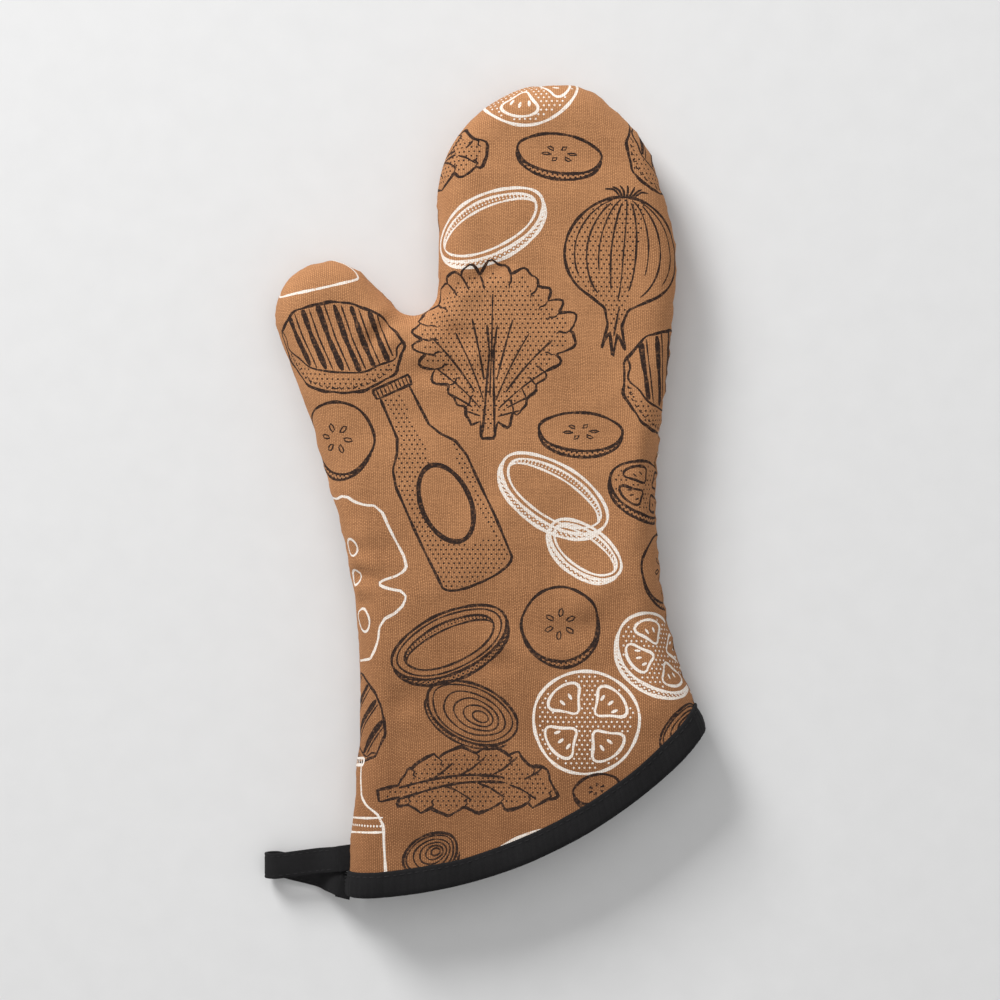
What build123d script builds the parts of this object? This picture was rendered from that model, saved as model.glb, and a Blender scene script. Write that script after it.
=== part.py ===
"""Padded oven mitt: canvas shell, batting, lining, bound cuff and hanging loop.

The mitt lies flat on its back panel with the fingertips towards +Y, the
thumb on the -X side and the palm side up.  Lengths are in millimetres.  The
origin is the middle of the footprint, on the surface the mitt lies on.

Every cloth layer is one cut panel per side.  It is divided here at the two
folds where the mitt closes, across the knuckles and at the thumb's base, so
that the palm, the fingers and the thumb can turn on their own joints.
"""

import os
from math import cos, degrees, hypot, radians, sin

from build123d import *

# ---- plan of the mitt ----
PLAN_CENTRE_X = 0.035           # middle of the footprint in the pattern grid
PLAN_CENTRE_Y = 1.58
HAND_TOP = 167.6                # fingertip edge
HAND_LEFT = -19.4               # edge of the hand above the crotch
TIP_RADIUS = 48.4
THUMB_RADIUS = 21.7
CROTCH_RADIUS = 9.3
PATTERN_BOTTOM = -210.0         # the pattern runs past the cuff before it is trimmed

# ---- cuff edge: an arc about a point on the thumb side ----
CUFF_CENTRE_X = -56.9
CUFF_CENTRE_Y = 32.3
CUFF_RADIUS = 196.0
BINDING_WIDTH = 10.5

# ---- layers ----
THICKNESS = 28.0                # whole mitt, back face to palm face
RIM_RADIUS = 13.0               # rounding of the padded rim
OUTER_T = 0.8
BATTING_T = 4.5
LINING_T = 0.6
BINDING_T = 0.5
SEAM_THREAD = 0.8               # side of the seam thread's square section

# ---- folds ----
FOLD_GAP = 0.6                  # clear slit between two parts of one panel
FINGER_FOLD_Y = 99.0
THUMB_FOLD_X = -61.0            # middle of the thumb's fold line
THUMB_FOLD_Y = 66.5
THUMB_FOLD_ANGLE = 37.0         # direction of that line from +X
THUMB_FOLD_HALF = 30.0
ZONE_REACH = 120.0              # how far a cutting block runs past the cloth

# ---- hanging loop ----
TAPE_WIDTH = 10.5
TAPE_T = 1.5
LOOP_TIP_X = -91.0
LOOP_TIP_Y = -152.6
LOOP_ROOT_X = -59.6             # the legs are sewn together here, and the loop swings here
LOOP_UPPER_ROOT_Y = -149.0      # leg sewn down above the binding
LOOP_LOWER_ROOT_Y = -159.2      # leg that carries on from the binding
LOOP_GAP = 7.5                  # clear height between the legs, for a hook
LOOP_DROP_RUN = 9.0             # length over which the legs come down from the seam
LOOP_DROP_RADIUS = 4.0
BARTACK_LENGTH = 18.0
BARTACK_HEIGHT = 1.6
BARTACK_REACH = 2.5             # from the swing line back towards the seam

# ---- topstitch on the binding ----
STITCH_LENGTH = 2.2
STITCH_PITCH = 3.2
STITCH_WIDTH = 0.5
STITCH_HEIGHT = 0.3
STITCH_INSET = 1.8              # from the binding's inner edge
STITCH_FIRST_ANGLE = 275.0      # round the cuff's centre, clear of the rounded sides
STITCH_LAST_ANGLE = 314.5

SEAM_Z = THICKNESS / 2
WALL_T = OUTER_T + BATTING_T + LINING_T
CUFF_CENTRE = (CUFF_CENTRE_X - PLAN_CENTRE_X, CUFF_CENTRE_Y - PLAN_CENTRE_Y)

os.makedirs("parts", exist_ok=True)


def save(part, name):
    """Label one finished piece and write it as its own STEP file."""
    part.label = name
    export_step(part, f"parts/{name}.step")


def mitt_outline():
    """Plan outline of hand, thumb and forearm: corners and the arcs that round them."""
    corners = [
        ((-60.5, PATTERN_BOTTOM), None),
        ((-50.0, -82.0), 330.0),            # wrist, thumb side
        ((-55.0, -27.0), 260.0),
        ((-68.3, 22.0), 300.0),             # swells into the thumb
        ((-90.3, 83.2), THUMB_RADIUS),
        ((-59.9, 101.6), THUMB_RADIUS),
        ((HAND_LEFT, 60.9), CROTCH_RADIUS),
        ((HAND_LEFT, HAND_TOP), TIP_RADIUS),
        ((42.5, HAND_TOP), 27.0),
        ((66.5, 144.5), 42.0),
        ((78.9, 101.0), 80.0),
        ((70.0, 0.0), 230.0),               # wrist, little-finger side
        ((73.6, -52.0), 170.0),
        ((136.0, PATTERN_BOTTOM), None),
    ]
    points = [(x - PLAN_CENTRE_X, y - PLAN_CENTRE_Y) for (x, y), radius in corners]
    radii = [radius for point, radius in corners[1:-1]]
    with BuildSketch() as plan:
        with BuildLine():
            FilletPolyline(*points, radius=radii)
            Line(points[-1], points[0])
        make_face()
    return plan.sketch


OUTLINE = mitt_outline()


def padded_half(inset):
    """Palm half of the padded body, as a solid `inset` below its outer face."""
    with BuildPart() as half:
        with BuildSketch(Plane.XY.offset(SEAM_Z)):
            add(OUTLINE)
            if inset > 0:
                offset(amount=-inset)
        extrude(amount=SEAM_Z - inset)
        fillet(half.edges().group_by(Axis.Z)[-1], RIM_RADIUS - inset)
    return half.part


def cuff_disc(radius):
    """Round block whose rim is parallel to the cuff edge."""
    with BuildPart() as disc:
        with BuildSketch(Plane.XY.offset(-THICKNESS)):
            with Locations(CUFF_CENTRE):
                Circle(radius)
        extrude(amount=3 * THICKNESS)
    return disc.part


def finger_zone(margin):
    """Block over the fingers, from the knuckle fold to past the fingertips."""
    with BuildPart() as zone:
        with BuildSketch(Plane.XY.offset(-THICKNESS)):
            with Locations((0, FINGER_FOLD_Y - PLAN_CENTRE_Y + margin)):
                Rectangle(2 * ZONE_REACH, ZONE_REACH, align=(Align.CENTER, Align.MIN))
        extrude(amount=3 * THICKNESS)
    return zone.part


def thumb_zone(margin):
    """Block over the thumb, from its base fold to past its tip."""
    middle = (THUMB_FOLD_X - PLAN_CENTRE_X, THUMB_FOLD_Y - PLAN_CENTRE_Y, -THICKNESS)
    along = (cos(radians(THUMB_FOLD_ANGLE)), sin(radians(THUMB_FOLD_ANGLE)), 0)
    with BuildPart() as zone:
        with BuildSketch(Plane(origin=middle, x_dir=along, z_dir=(0, 0, 1))):
            with Locations((0, margin)):
                Rectangle(2 * THUMB_FOLD_HALF, ZONE_REACH / 2, align=(Align.CENTER, Align.MIN))
        extrude(amount=3 * THICKNESS)
    return zone.part


def turn_over(part):
    """The same piece on the back of the mitt: its mirror image in the seam plane."""
    with BuildPart() as back:
        mirror(part, about=Plane.XY.offset(SEAM_Z))
    return back.part


# Solids bounded by each face of the layers, from the canvas in to the cavity.
HALVES = {
    inset: padded_half(inset)
    for inset in (0, BINDING_T, OUTER_T, OUTER_T + BATTING_T, WALL_T, WALL_T + BINDING_T)
}
CLOTH_TRIM = cuff_disc(CUFF_RADIUS - 2 * BINDING_T)     # raw edge of the layers
FINGERS = finger_zone(FOLD_GAP / 2)
THUMB = thumb_zone(FOLD_GAP / 2)
NOT_PALM = finger_zone(-FOLD_GAP / 2) + thumb_zone(-FOLD_GAP / 2)


def cuff_wall():
    """Thinned edge of the cloth layers that the binding folds round."""
    with BuildPart() as wall:
        add(HALVES[BINDING_T])
        add(HALVES[WALL_T], mode=Mode.SUBTRACT)
        add(CLOTH_TRIM, mode=Mode.INTERSECT)
    return wall.part


def topstitch():
    """Row of stitches pulled into the flat of the binding, flush with the palm face."""
    radius = CUFF_RADIUS - BINDING_WIDTH + STITCH_INSET
    pitch_angle = degrees(STITCH_PITCH / radius)
    count = int((STITCH_LAST_ANGLE - STITCH_FIRST_ANGLE) / pitch_angle)
    with BuildPart() as row:
        with BuildSketch(Plane.XY.offset(THICKNESS - STITCH_HEIGHT)):
            with Locations(CUFF_CENTRE):
                with PolarLocations(radius, count, STITCH_FIRST_ANGLE, count * pitch_angle):
                    RectangleRounded(STITCH_WIDTH, STITCH_LENGTH, STITCH_WIDTH / 2.1)
        extrude(amount=STITCH_HEIGHT)
    return row.part


TOPSTITCH = topstitch()


def binding_half():
    """Half of the bias tape folded round the raw edge of the cuff."""
    with BuildPart() as tape:
        add(HALVES[0])
        add(HALVES[WALL_T + BINDING_T], mode=Mode.SUBTRACT)
        add(cuff_disc(CUFF_RADIUS - BINDING_WIDTH), mode=Mode.SUBTRACT)
        add(cuff_disc(CUFF_RADIUS), mode=Mode.INTERSECT)
        add(cuff_wall(), mode=Mode.SUBTRACT)
    return tape.part


BINDING_HALF = binding_half()


def seam_ring():
    """Thread of the edge seam, a square ring just inside the canvas."""
    with BuildPart() as ring:
        with BuildSketch(Plane.XY.offset(SEAM_Z - SEAM_THREAD / 2)):
            add(OUTLINE)
            offset(amount=-OUTER_T)
        extrude(amount=SEAM_THREAD)
        with BuildSketch(Plane.XY.offset(SEAM_Z - SEAM_THREAD / 2)):
            add(OUTLINE)
            offset(amount=-OUTER_T - SEAM_THREAD)
        extrude(amount=SEAM_THREAD, mode=Mode.SUBTRACT)
        add(CLOTH_TRIM, mode=Mode.INTERSECT)
    return ring.part


SEAM_RING = seam_ring()


# ---- canvas, batting and lining: palm half and back half, palm, fingers, thumb ----
def layer_half(outside, inside):
    """One cloth layer of the palm half, between two insets, trimmed at the cuff."""
    with BuildPart() as layer:
        add(HALVES[outside])
        add(HALVES[inside], mode=Mode.SUBTRACT)
        add(CLOTH_TRIM, mode=Mode.INTERSECT)
        add(BINDING_HALF, mode=Mode.SUBTRACT)
        if outside == OUTER_T:
            add(SEAM_RING, mode=Mode.SUBTRACT)
    return layer.part


def write_zones(layer, stem):
    """Divide one layer at the folds and write its palm, fingers and thumb."""
    with BuildPart() as palm:
        add(layer)
        add(NOT_PALM, mode=Mode.SUBTRACT)
    save(palm.part, f"{stem}_palm")

    with BuildPart() as fingers:
        add(layer)
        add(FINGERS, mode=Mode.INTERSECT)
    save(fingers.part, f"{stem}_fingers")

    with BuildPart() as thumb:
        add(layer)
        add(THUMB, mode=Mode.INTERSECT)
    save(thumb.part, f"{stem}_thumb")


for layer_name, outside, inside in (
    ("outer", 0, OUTER_T),
    ("batting", OUTER_T, OUTER_T + BATTING_T),
    ("lining", OUTER_T + BATTING_T, WALL_T),
):
    front = layer_half(outside, inside)
    write_zones(front, f"{layer_name}_front")
    write_zones(turn_over(front), f"{layer_name}_back")

write_zones(SEAM_RING, "seam_thread")


# ---- cuff binding and the stitches that hold it ----
with BuildPart() as cuff_binding:
    add(BINDING_HALF)
    add(TOPSTITCH, mode=Mode.SUBTRACT)
    mirror(about=Plane.XY.offset(SEAM_Z))
save(cuff_binding.part, "cuff_binding")

save(TOPSTITCH, "binding_topstitch_front")
save(turn_over(TOPSTITCH), "binding_topstitch_back")


# ---- hanging loop: the binding's end folded back and sewn down at the side seam ----
BEND_RADIUS = LOOP_GAP / 2 + TAPE_T
BEND_X = LOOP_TIP_X + BEND_RADIUS - PLAN_CENTRE_X
BEND_Y = LOOP_TIP_Y - PLAN_CENTRE_Y
SWING_X = LOOP_ROOT_X - PLAN_CENTRE_X
ROOT_MIDDLE_Y = (LOOP_UPPER_ROOT_Y + LOOP_LOWER_ROOT_Y) / 2 - PLAN_CENTRE_Y


def loop_leg(root_y, bend_z, root_z):
    """One leg of tape: level from the tip's bend, then up to the side seam."""
    rise_y = root_y - LOOP_TIP_Y
    length = hypot(SWING_X - BEND_X, rise_y)
    along = ((SWING_X - BEND_X) / length, rise_y / length, 0)
    across = (along[1], -along[0], 0)
    with BuildPart() as leg:
        with BuildSketch(Plane(origin=(BEND_X, BEND_Y, 0), x_dir=along, z_dir=across)):
            with BuildLine() as path:
                FilletPolyline(
                    (0, bend_z),
                    (length - LOOP_DROP_RUN, bend_z),
                    (length, root_z),
                    radius=[LOOP_DROP_RADIUS],
                )
            trace(path.line, TAPE_T)
        extrude(amount=TAPE_WIDTH / 2, both=True)
    return leg.part


with BuildPart() as hanging_loop:
    with BuildSketch(Plane(origin=(BEND_X, BEND_Y, BEND_RADIUS), x_dir=(1, 0, 0), z_dir=(0, -1, 0))):
        Circle(BEND_RADIUS)
        Circle(LOOP_GAP / 2, mode=Mode.SUBTRACT)
        Rectangle(
            2 * BEND_RADIUS,
            3 * BEND_RADIUS,
            align=(Align.MIN, Align.CENTER),
            mode=Mode.SUBTRACT,
        )
    extrude(amount=TAPE_WIDTH / 2, both=True)
    add(loop_leg(LOOP_UPPER_ROOT_Y, 2 * BEND_RADIUS - TAPE_T / 2, SEAM_Z + TAPE_T / 2))
    add(loop_leg(LOOP_LOWER_ROOT_Y, TAPE_T / 2, SEAM_Z - TAPE_T / 2))
    split(bisect_by=Plane(origin=(SWING_X, 0, 0), z_dir=(1, 0, 0)), keep=Keep.BOTTOM)
save(hanging_loop.part, "hanging_loop")


# ---- bar tack: thread packed against the side seam where the loop is sewn on ----
with BuildPart() as loop_bartack:
    with BuildSketch(Plane.XY.offset(SEAM_Z - BARTACK_HEIGHT / 2)):
        with Locations((SWING_X + BARTACK_REACH, ROOT_MIDDLE_Y)):
            Rectangle(RIM_RADIUS, BARTACK_LENGTH, align=(Align.MIN, Align.CENTER))
    extrude(amount=BARTACK_HEIGHT)
    add(HALVES[0], mode=Mode.SUBTRACT)
    add(turn_over(HALVES[0]), mode=Mode.SUBTRACT)
save(loop_bartack.part, "loop_bartack")
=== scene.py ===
"""Oven mitt: the looks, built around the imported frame.

Shapes are worked out in millimetres, in the frame's own directions, and become
metres when a mesh is made.  Cloth is drawn in pattern coordinates: the plan of
the mitt with the padded rim rolled out flat, so that print, weave and stitches
follow the cloth over the rim.
"""
import math

import bpy
import numpy as np
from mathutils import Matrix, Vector
from mathutils.bvhtree import BVHTree
from mathutils.geometry import delaunay_2d_cdt
from mathutils.kdtree import KDTree


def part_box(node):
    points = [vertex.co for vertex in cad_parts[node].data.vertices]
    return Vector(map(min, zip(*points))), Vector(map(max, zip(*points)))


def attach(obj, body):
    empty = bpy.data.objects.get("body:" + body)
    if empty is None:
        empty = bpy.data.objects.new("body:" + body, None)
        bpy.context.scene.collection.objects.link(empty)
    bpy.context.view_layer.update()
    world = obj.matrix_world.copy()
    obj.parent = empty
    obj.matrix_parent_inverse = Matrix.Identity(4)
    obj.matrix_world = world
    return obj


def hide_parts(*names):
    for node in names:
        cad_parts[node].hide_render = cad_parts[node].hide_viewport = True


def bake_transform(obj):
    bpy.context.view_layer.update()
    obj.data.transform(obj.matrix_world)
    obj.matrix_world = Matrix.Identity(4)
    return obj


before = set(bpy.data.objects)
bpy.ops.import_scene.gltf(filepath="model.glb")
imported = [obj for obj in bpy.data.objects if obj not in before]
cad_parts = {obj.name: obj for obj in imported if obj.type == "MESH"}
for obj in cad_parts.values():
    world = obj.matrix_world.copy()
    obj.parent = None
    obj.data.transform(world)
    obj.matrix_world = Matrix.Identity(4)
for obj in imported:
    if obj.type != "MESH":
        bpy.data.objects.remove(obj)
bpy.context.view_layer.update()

MM = 0.001

# ---- the mitt, in millimetres, as in the CAD model ----
PLAN_CENTRE = np.array([0.035, 1.58])
CUFF_CENTRE = np.array([-56.9, 32.3]) - PLAN_CENTRE
CUFF_RADIUS = 196.0
BINDING_WIDTH = 10.5
THICKNESS = 28.0
SEAM_Z = THICKNESS / 2
RIM_RADIUS = 13.0
RIM_FLAT = SEAM_Z - RIM_RADIUS                      # upright strip beside the seam
RIM_LENGTH = RIM_FLAT + RIM_RADIUS * math.pi / 2    # cloth from the seam to the flat face
ROLL_OUT = RIM_LENGTH - RIM_RADIUS                  # how far the pattern passes the plan outline
OUTER_T = 0.8
BATTING_T = 4.5
LINING_T = 0.6
WALL_T = OUTER_T + BATTING_T + LINING_T
CROTCH = np.array([-29.0, 72.5]) - PLAN_CENTRE
CROTCH_LINE_ANGLE = math.radians(217.0)
OUTLINE_CORNERS = [
    ((-60.5, -210.0), 0.0),
    ((-50.0, -82.0), 330.0),
    ((-55.0, -27.0), 260.0),
    ((-68.3, 22.0), 300.0),
    ((-90.3, 83.2), 21.7),
    ((-59.9, 101.6), 21.7),
    ((-19.4, 60.9), 9.3),
    ((-19.4, 167.6), 48.4),
    ((42.5, 167.6), 27.0),
    ((66.5, 144.5), 42.0),
    ((78.9, 101.0), 80.0),
    ((70.0, 0.0), 230.0),
    ((73.6, -52.0), 170.0),
    ((136.0, -210.0), 0.0),
]


# ============================ plan geometry ============================

def rounded_path(corners, step):
    """Points along straight runs joined by tangent arcs, about `step` apart."""
    points = [np.array(c[0], float) - PLAN_CENTRE for c in corners]
    out = [points[0]]
    for i in range(1, len(points) - 1):
        p, radius = points[i], corners[i][1]
        back, ahead = points[i - 1] - p, points[i + 1] - p
        back, ahead = back / np.linalg.norm(back), ahead / np.linalg.norm(ahead)
        half = math.acos(np.clip(back @ ahead, -1, 1)) / 2
        reach = radius / math.tan(half)
        middle = back + ahead
        centre = p + middle / np.linalg.norm(middle) * radius / math.sin(half)
        a, b = p + back * reach - centre, p + ahead * reach - centre
        turn = math.atan2(a[0] * b[1] - a[1] * b[0], a @ b)
        count = max(2, int(abs(turn) * radius / step))
        for k in range(count + 1):
            t = turn * k / count
            c, s = math.cos(t), math.sin(t)
            out.append(centre + np.array([c * a[0] - s * a[1], s * a[0] + c * a[1]]))
    out.append(points[-1])
    return resample(np.array(out), step)


def run_along(line):
    """Distance of each point from the line's start, along the line."""
    return np.concatenate([[0], np.cumsum(np.linalg.norm(np.diff(line, axis=0), axis=1))])


def resample(line, step, closed=False):
    """The same line with even spacing of about `step`."""
    line = np.vstack([line, line[:1]]) if closed else line
    run = run_along(line)
    count = max(2, int(round(run[-1] / step)))
    at = np.linspace(0, run[-1], count + 1)
    out = np.stack([np.interp(at, run, line[:, k]) for k in range(line.shape[1])], 1)
    return out[:-1] if closed else out


def line_normals(line):
    """Unit vectors to the right of an open line, one at each point."""
    d = np.gradient(line, axis=0)
    n = np.stack([d[:, 1], -d[:, 0]], 1)
    return n / np.linalg.norm(n, axis=1)[:, None]


def signed_area(p):
    """Area of a closed line, above zero where it runs counter-clockwise."""
    x, y = p[:, 0], p[:, 1]
    return (x * np.roll(y, -1) - y * np.roll(x, -1)).sum() / 2


OUTLINE_STEP = 0.5
OUTLINE = rounded_path(OUTLINE_CORNERS, OUTLINE_STEP)        # clockwise: the cloth is on its right
OUTLINE_IN = line_normals(OUTLINE)
OUTLINE_TREE = KDTree(len(OUTLINE))
for index, point in enumerate(OUTLINE):
    OUTLINE_TREE.insert((*point, 0.0), index)
OUTLINE_TREE.balance()


def rim_distance(p):
    """Signed distance into the plan outline, and the unit vector that points in."""
    near = np.array([OUTLINE_TREE.find((x, y, 0.0))[1] for x, y in p.tolist()])
    tries = []
    for first in (np.maximum(near - 1, 0), np.minimum(near, len(OUTLINE) - 2)):
        a, ab = OUTLINE[first], OUTLINE[first + 1] - OUTLINE[first]
        t = np.clip(((p - a) * ab).sum(1) / (ab**2).sum(1), 0, 1)[:, None]
        gap = p - a - t * ab
        n = OUTLINE_IN[first] * (1 - t) + OUTLINE_IN[first + 1] * t
        n /= np.linalg.norm(n, axis=1)[:, None]
        tries.append((np.linalg.norm(gap, axis=1), (gap * n).sum(1), n))
    (far, dist, n), (far2, dist2, n2) = tries
    closer = far2 < far
    return np.where(closer, dist2, dist), np.where(closer[:, None], n2, n)


SEAM_TUCK = 0.9         # the seam line is pulled in this far
SEAM_TUCK_REACH = 1.7
CROWN = 1.6             # the palm face swells this much above the flat
CROWN_REACH = 30.0


def rim_profile(s):
    """Plan distance, height and turn of the padded section, `s` along the cloth from the seam."""
    side = np.sign(s) + (s == 0)
    t = np.abs(s)
    turn = np.clip((t - RIM_FLAT) / RIM_RADIUS, 0, math.pi / 2)
    d = RIM_RADIUS * (1 - np.cos(turn)) + np.maximum(t - RIM_LENGTH, 0)
    z = np.minimum(t, RIM_FLAT) + RIM_RADIUS * np.sin(turn)
    d = d + SEAM_TUCK * np.exp(-(t / SEAM_TUCK_REACH) ** 2)
    return d, z * side, turn * side


def cloth_at_rest(p, side):
    """Smooth padded body: places, outward normals and distances from the seam; side is 1 for the palm."""
    dist, inward = rim_distance(p)
    s = dist + ROLL_OUT
    d, z, turn = rim_profile(s)
    place = np.empty((len(p), 3))
    place[:, :2] = p + inward * (d - dist)[:, None]
    crown = (CROWN if side > 0 else 0.0) * (1 - np.exp(-np.maximum(s - RIM_FLAT, 0) / CROWN_REACH))
    place[:, 2] = SEAM_Z + side * (z + crown)
    normal = np.empty((len(p), 3))
    normal[:, :2] = -inward * np.cos(turn)[:, None]
    normal[:, 2] = side * np.sin(turn)
    return place, normal, s


def cuff_angles(radius):
    """Angles at which a circle round the cuff's centre crosses the mitt's two sides."""
    away = np.linalg.norm(OUTLINE - CUFF_CENTRE, axis=1) - radius
    cross = [i for i in range(len(away) - 1) if away[i] > 0 >= away[i + 1] or away[i] <= 0 < away[i + 1]]
    ends = []
    for i in (cross[0], cross[-1]):
        t = away[i] / (away[i] - away[i + 1])
        p = OUTLINE[i] * (1 - t) + OUTLINE[i + 1] * t - CUFF_CENTRE
        ends.append(math.atan2(p[1], p[0]) % (2 * math.pi))
    return ends


def cuff_line(radius, count):
    """Pattern points along the cuff at one radius, seam to seam, thumb side first, evenly spaced."""
    start, stop = cuff_angles(radius)
    k = np.arange(901) / 900
    angle = start + (stop - start) * (1 - np.cos(math.pi * k)) / 2
    plan = CUFF_CENTRE + radius * np.stack([np.cos(angle), np.sin(angle)], 1)
    dist, inward = rim_distance(plan)
    dist = np.maximum(dist, 0)
    bend = np.arccos(np.clip(1 - dist / RIM_RADIUS, 0, 1))
    s = np.where(dist < RIM_RADIUS, RIM_FLAT + RIM_RADIUS * bend, dist + ROLL_OUT)
    pattern = plan - inward * (dist - s + ROLL_OUT)[:, None]
    ends = [plan[i] - inward[i] * ROLL_OUT for i in (0, -1)]
    line = np.vstack([ends[0], pattern, ends[1]])
    run = run_along(line)
    at = np.linspace(0, run[-1], count)
    return np.stack([np.interp(at, run, line[:, j]) for j in (0, 1)], 1)


def pattern_edge(radius, step):
    """Seam edge of the pattern from the thumb-side cuff corner to the far one, even on the plan."""
    every = max(1, int(round(step / OUTLINE_STEP)))
    edge = (OUTLINE - OUTLINE_IN * ROLL_OUT)[::every]
    kept = np.linalg.norm(OUTLINE[::every] - CUFF_CENTRE, axis=1) < radius - 0.6
    corner = cuff_line(radius, 2)
    line = [corner[0]]
    for p in edge[kept]:
        if np.linalg.norm(p - line[-1]) > 0.3:
            line.append(p)
    return np.vstack([line, corner[1]])


def inside(points, polygon):
    """True for each point in the polygon."""
    x, y = points[:, 0], points[:, 1]
    out = np.zeros(len(points), bool)
    for (x1, y1), (x2, y2) in zip(polygon, np.roll(polygon, -1, 0)):
        if y1 != y2:
            out ^= ((y1 > y) != (y2 > y)) & (x < (x2 - x1) * (y - y1) / (y2 - y1) + x1)
    return out


def hex_points(polygon, step, margin):
    """Evenly spread points inside a polygon, clear of its edge."""
    lo, hi = polygon.min(0), polygon.max(0)
    rows = []
    for i, y in enumerate(np.arange(lo[1], hi[1], step * math.sqrt(3) / 2)):
        x = np.arange(lo[0] + (i % 2) * step / 2, hi[0], step)
        rows.append(np.stack([x, np.full(len(x), y)], 1))
    grid = np.vstack(rows)
    grid = grid[inside(grid, polygon)]
    return grid[edge_gap(grid, polygon) > margin]


def edge_gap(points, polygon):
    """Distance from each point to a closed line."""
    a, b = polygon, np.roll(polygon, -1, 0)
    ab = b - a
    ab2 = np.maximum((ab**2).sum(1), 1e-12)
    out = np.empty(len(points))
    for lo in range(0, len(points), 4000):
        ap = points[lo:lo + 4000, None] - a[None]
        t = np.clip((ap * ab[None]).sum(2) / ab2, 0, 1)
        out[lo:lo + 4000] = np.sqrt(((ap - t[:, :, None] * ab[None])**2).sum(2).min(1))
    return out


def triangulate(boundary, points, polygons=()):
    """Constrained triangles of a pattern piece: points, triangles, and the polygons that each is in."""
    verts = [Vector(p) for p in (*boundary, *points)]
    faces = [list(range(len(boundary)))[::-1]]      # the boundary runs clockwise, and faces may not
    for polygon in polygons:
        faces.append(list(range(len(verts), len(verts) + len(polygon))))
        verts.extend(Vector(p) for p in polygon)
    out = delaunay_2d_cdt(verts, [], faces, 0, 1e-4, True)
    kept = [(t, ids) for t, ids in zip(out[2], out[5]) if 0 in ids and len(set(t)) == 3]
    return np.array([tuple(v) for v in out[0]]), [t for t, _ in kept], [ids for _, ids in kept]


# ============================ cloth simulation ============================

CLOTH_RADIUS = CUFF_RADIUS - 1.0        # raw edge of the cloth, inside the binding
SIM_STEP = 4.6
SIM_FRAMES = 26
SIM_GROWTH = 0.035                      # spare cloth, which is what wrinkles
SIM_CAP = 3.4                           # furthest a point may move
CLOTH_SETTINGS = dict(
    quality=7, mass=0.25, tension_stiffness=22, compression_stiffness=22, shear_stiffness=12,
    bending_stiffness=1.4, tension_damping=12, compression_damping=12, shear_damping=12, bending_damping=2,
    air_damping=3,
    vertex_group_mass="pin", use_pressure=True, uniform_pressure_force=5.0, shrink_min=-SIM_GROWTH,
)
CUFF_LENGTH = 230.0                     # of one side of the pattern, along the cuff
RNG = np.random.default_rng(7)


def make_mesh(name, verts_mm, faces):
    """Mesh object at its real size, from points in millimetres."""
    mesh = bpy.data.meshes.new(name)
    mesh.from_pydata((np.asarray(verts_mm, float) * MM).tolist(), [], [list(map(int, f)) for f in faces])
    mesh.validate()
    obj = bpy.data.objects.new(name, mesh)
    bpy.context.scene.collection.objects.link(obj)
    return obj


def puffed(start, faces, pinned):
    """Where Blender's cloth takes the points, in millimetres, under pressure from inside."""
    obj = make_mesh("mitt_cloth", start, faces)
    obj.vertex_groups.new(name="pin").add(pinned, 1.0, "REPLACE")
    cloth = obj.modifiers.new("Cloth", "CLOTH")
    for name, value in CLOTH_SETTINGS.items():
        setattr(cloth.settings, name, value)
    cloth.settings.effector_weights.gravity = 0
    cloth.collision_settings.use_collision = False
    cloth.point_cache.frame_end = SIM_FRAMES
    scene = bpy.context.scene
    for frame_number in range(1, SIM_FRAMES + 1):
        scene.frame_set(frame_number)
    done = obj.evaluated_get(bpy.context.evaluated_depsgraph_get())
    co = np.empty(len(start) * 3)
    done.data.vertices.foreach_get("co", co)
    scene.frame_set(1)
    bpy.data.objects.remove(obj)
    return co.reshape(-1, 3) / MM


def simulate_mitt():
    """Puffs the two sewn panels: pattern points, triangles and how far each point moved, per side."""
    edge = pattern_edge(CLOTH_RADIUS, SIM_STEP)
    cuff = cuff_line(CLOTH_RADIUS, int(CUFF_LENGTH / SIM_STEP))[::-1]
    boundary = np.vstack([edge, cuff[1:-1]])
    inner = hex_points(boundary, SIM_STEP, SIM_STEP * 0.55)
    points, tris, _ = triangulate(boundary, inner)
    n = len(points)
    seam = np.zeros(n, bool)
    seam[:len(edge)] = True
    front, front_n, _ = cloth_at_rest(points, 1)
    back, back_n, _ = cloth_at_rest(points, -1)
    back_id = np.where(seam, np.arange(n), n + np.cumsum(~seam) - 1)
    verts = np.vstack([front, back[~seam]])
    normals = np.vstack([front_n, back_n[~seam]])
    faces = [list(t) for t in tris] + [[back_id[i] for i in reversed(t)] for t in tris]
    ripple = np.sin(verts[:, 0] / 9.0 + 1.3) * np.sin(verts[:, 1] / 11.0 + 0.4)
    start = verts - normals * (0.8 + 0.35 * ripple + 0.1 * RNG.standard_normal(len(verts)))[:, None]
    start[:len(edge)] = verts[:len(edge)]
    cuff_ids = range(len(edge), len(boundary))
    pinned = [*range(len(boundary)), *(int(back_id[i]) for i in cuff_ids)]
    moved = puffed(start, faces, pinned) - verts
    far = np.linalg.norm(moved, axis=1)
    moved *= (np.tanh(far / SIM_CAP) * SIM_CAP / np.maximum(far, 1e-9))[:, None]
    return points, tris, {1: moved[:n], -1: moved[back_id]}


# ============================ the cloth surface ============================

WIDE_REACH = 24.0       # swelling broader than this is the body's own shape, not wrinkles
GRID_STEP = 2.0         # of the fields that the cloth's points are read from
WRINKLE_SHARE = 0.85
BACK_SHARE = 0.35       # the back lies pressed flat on the floor
LOW_Z = 0.15            # the back's lowest point above the floor


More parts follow.
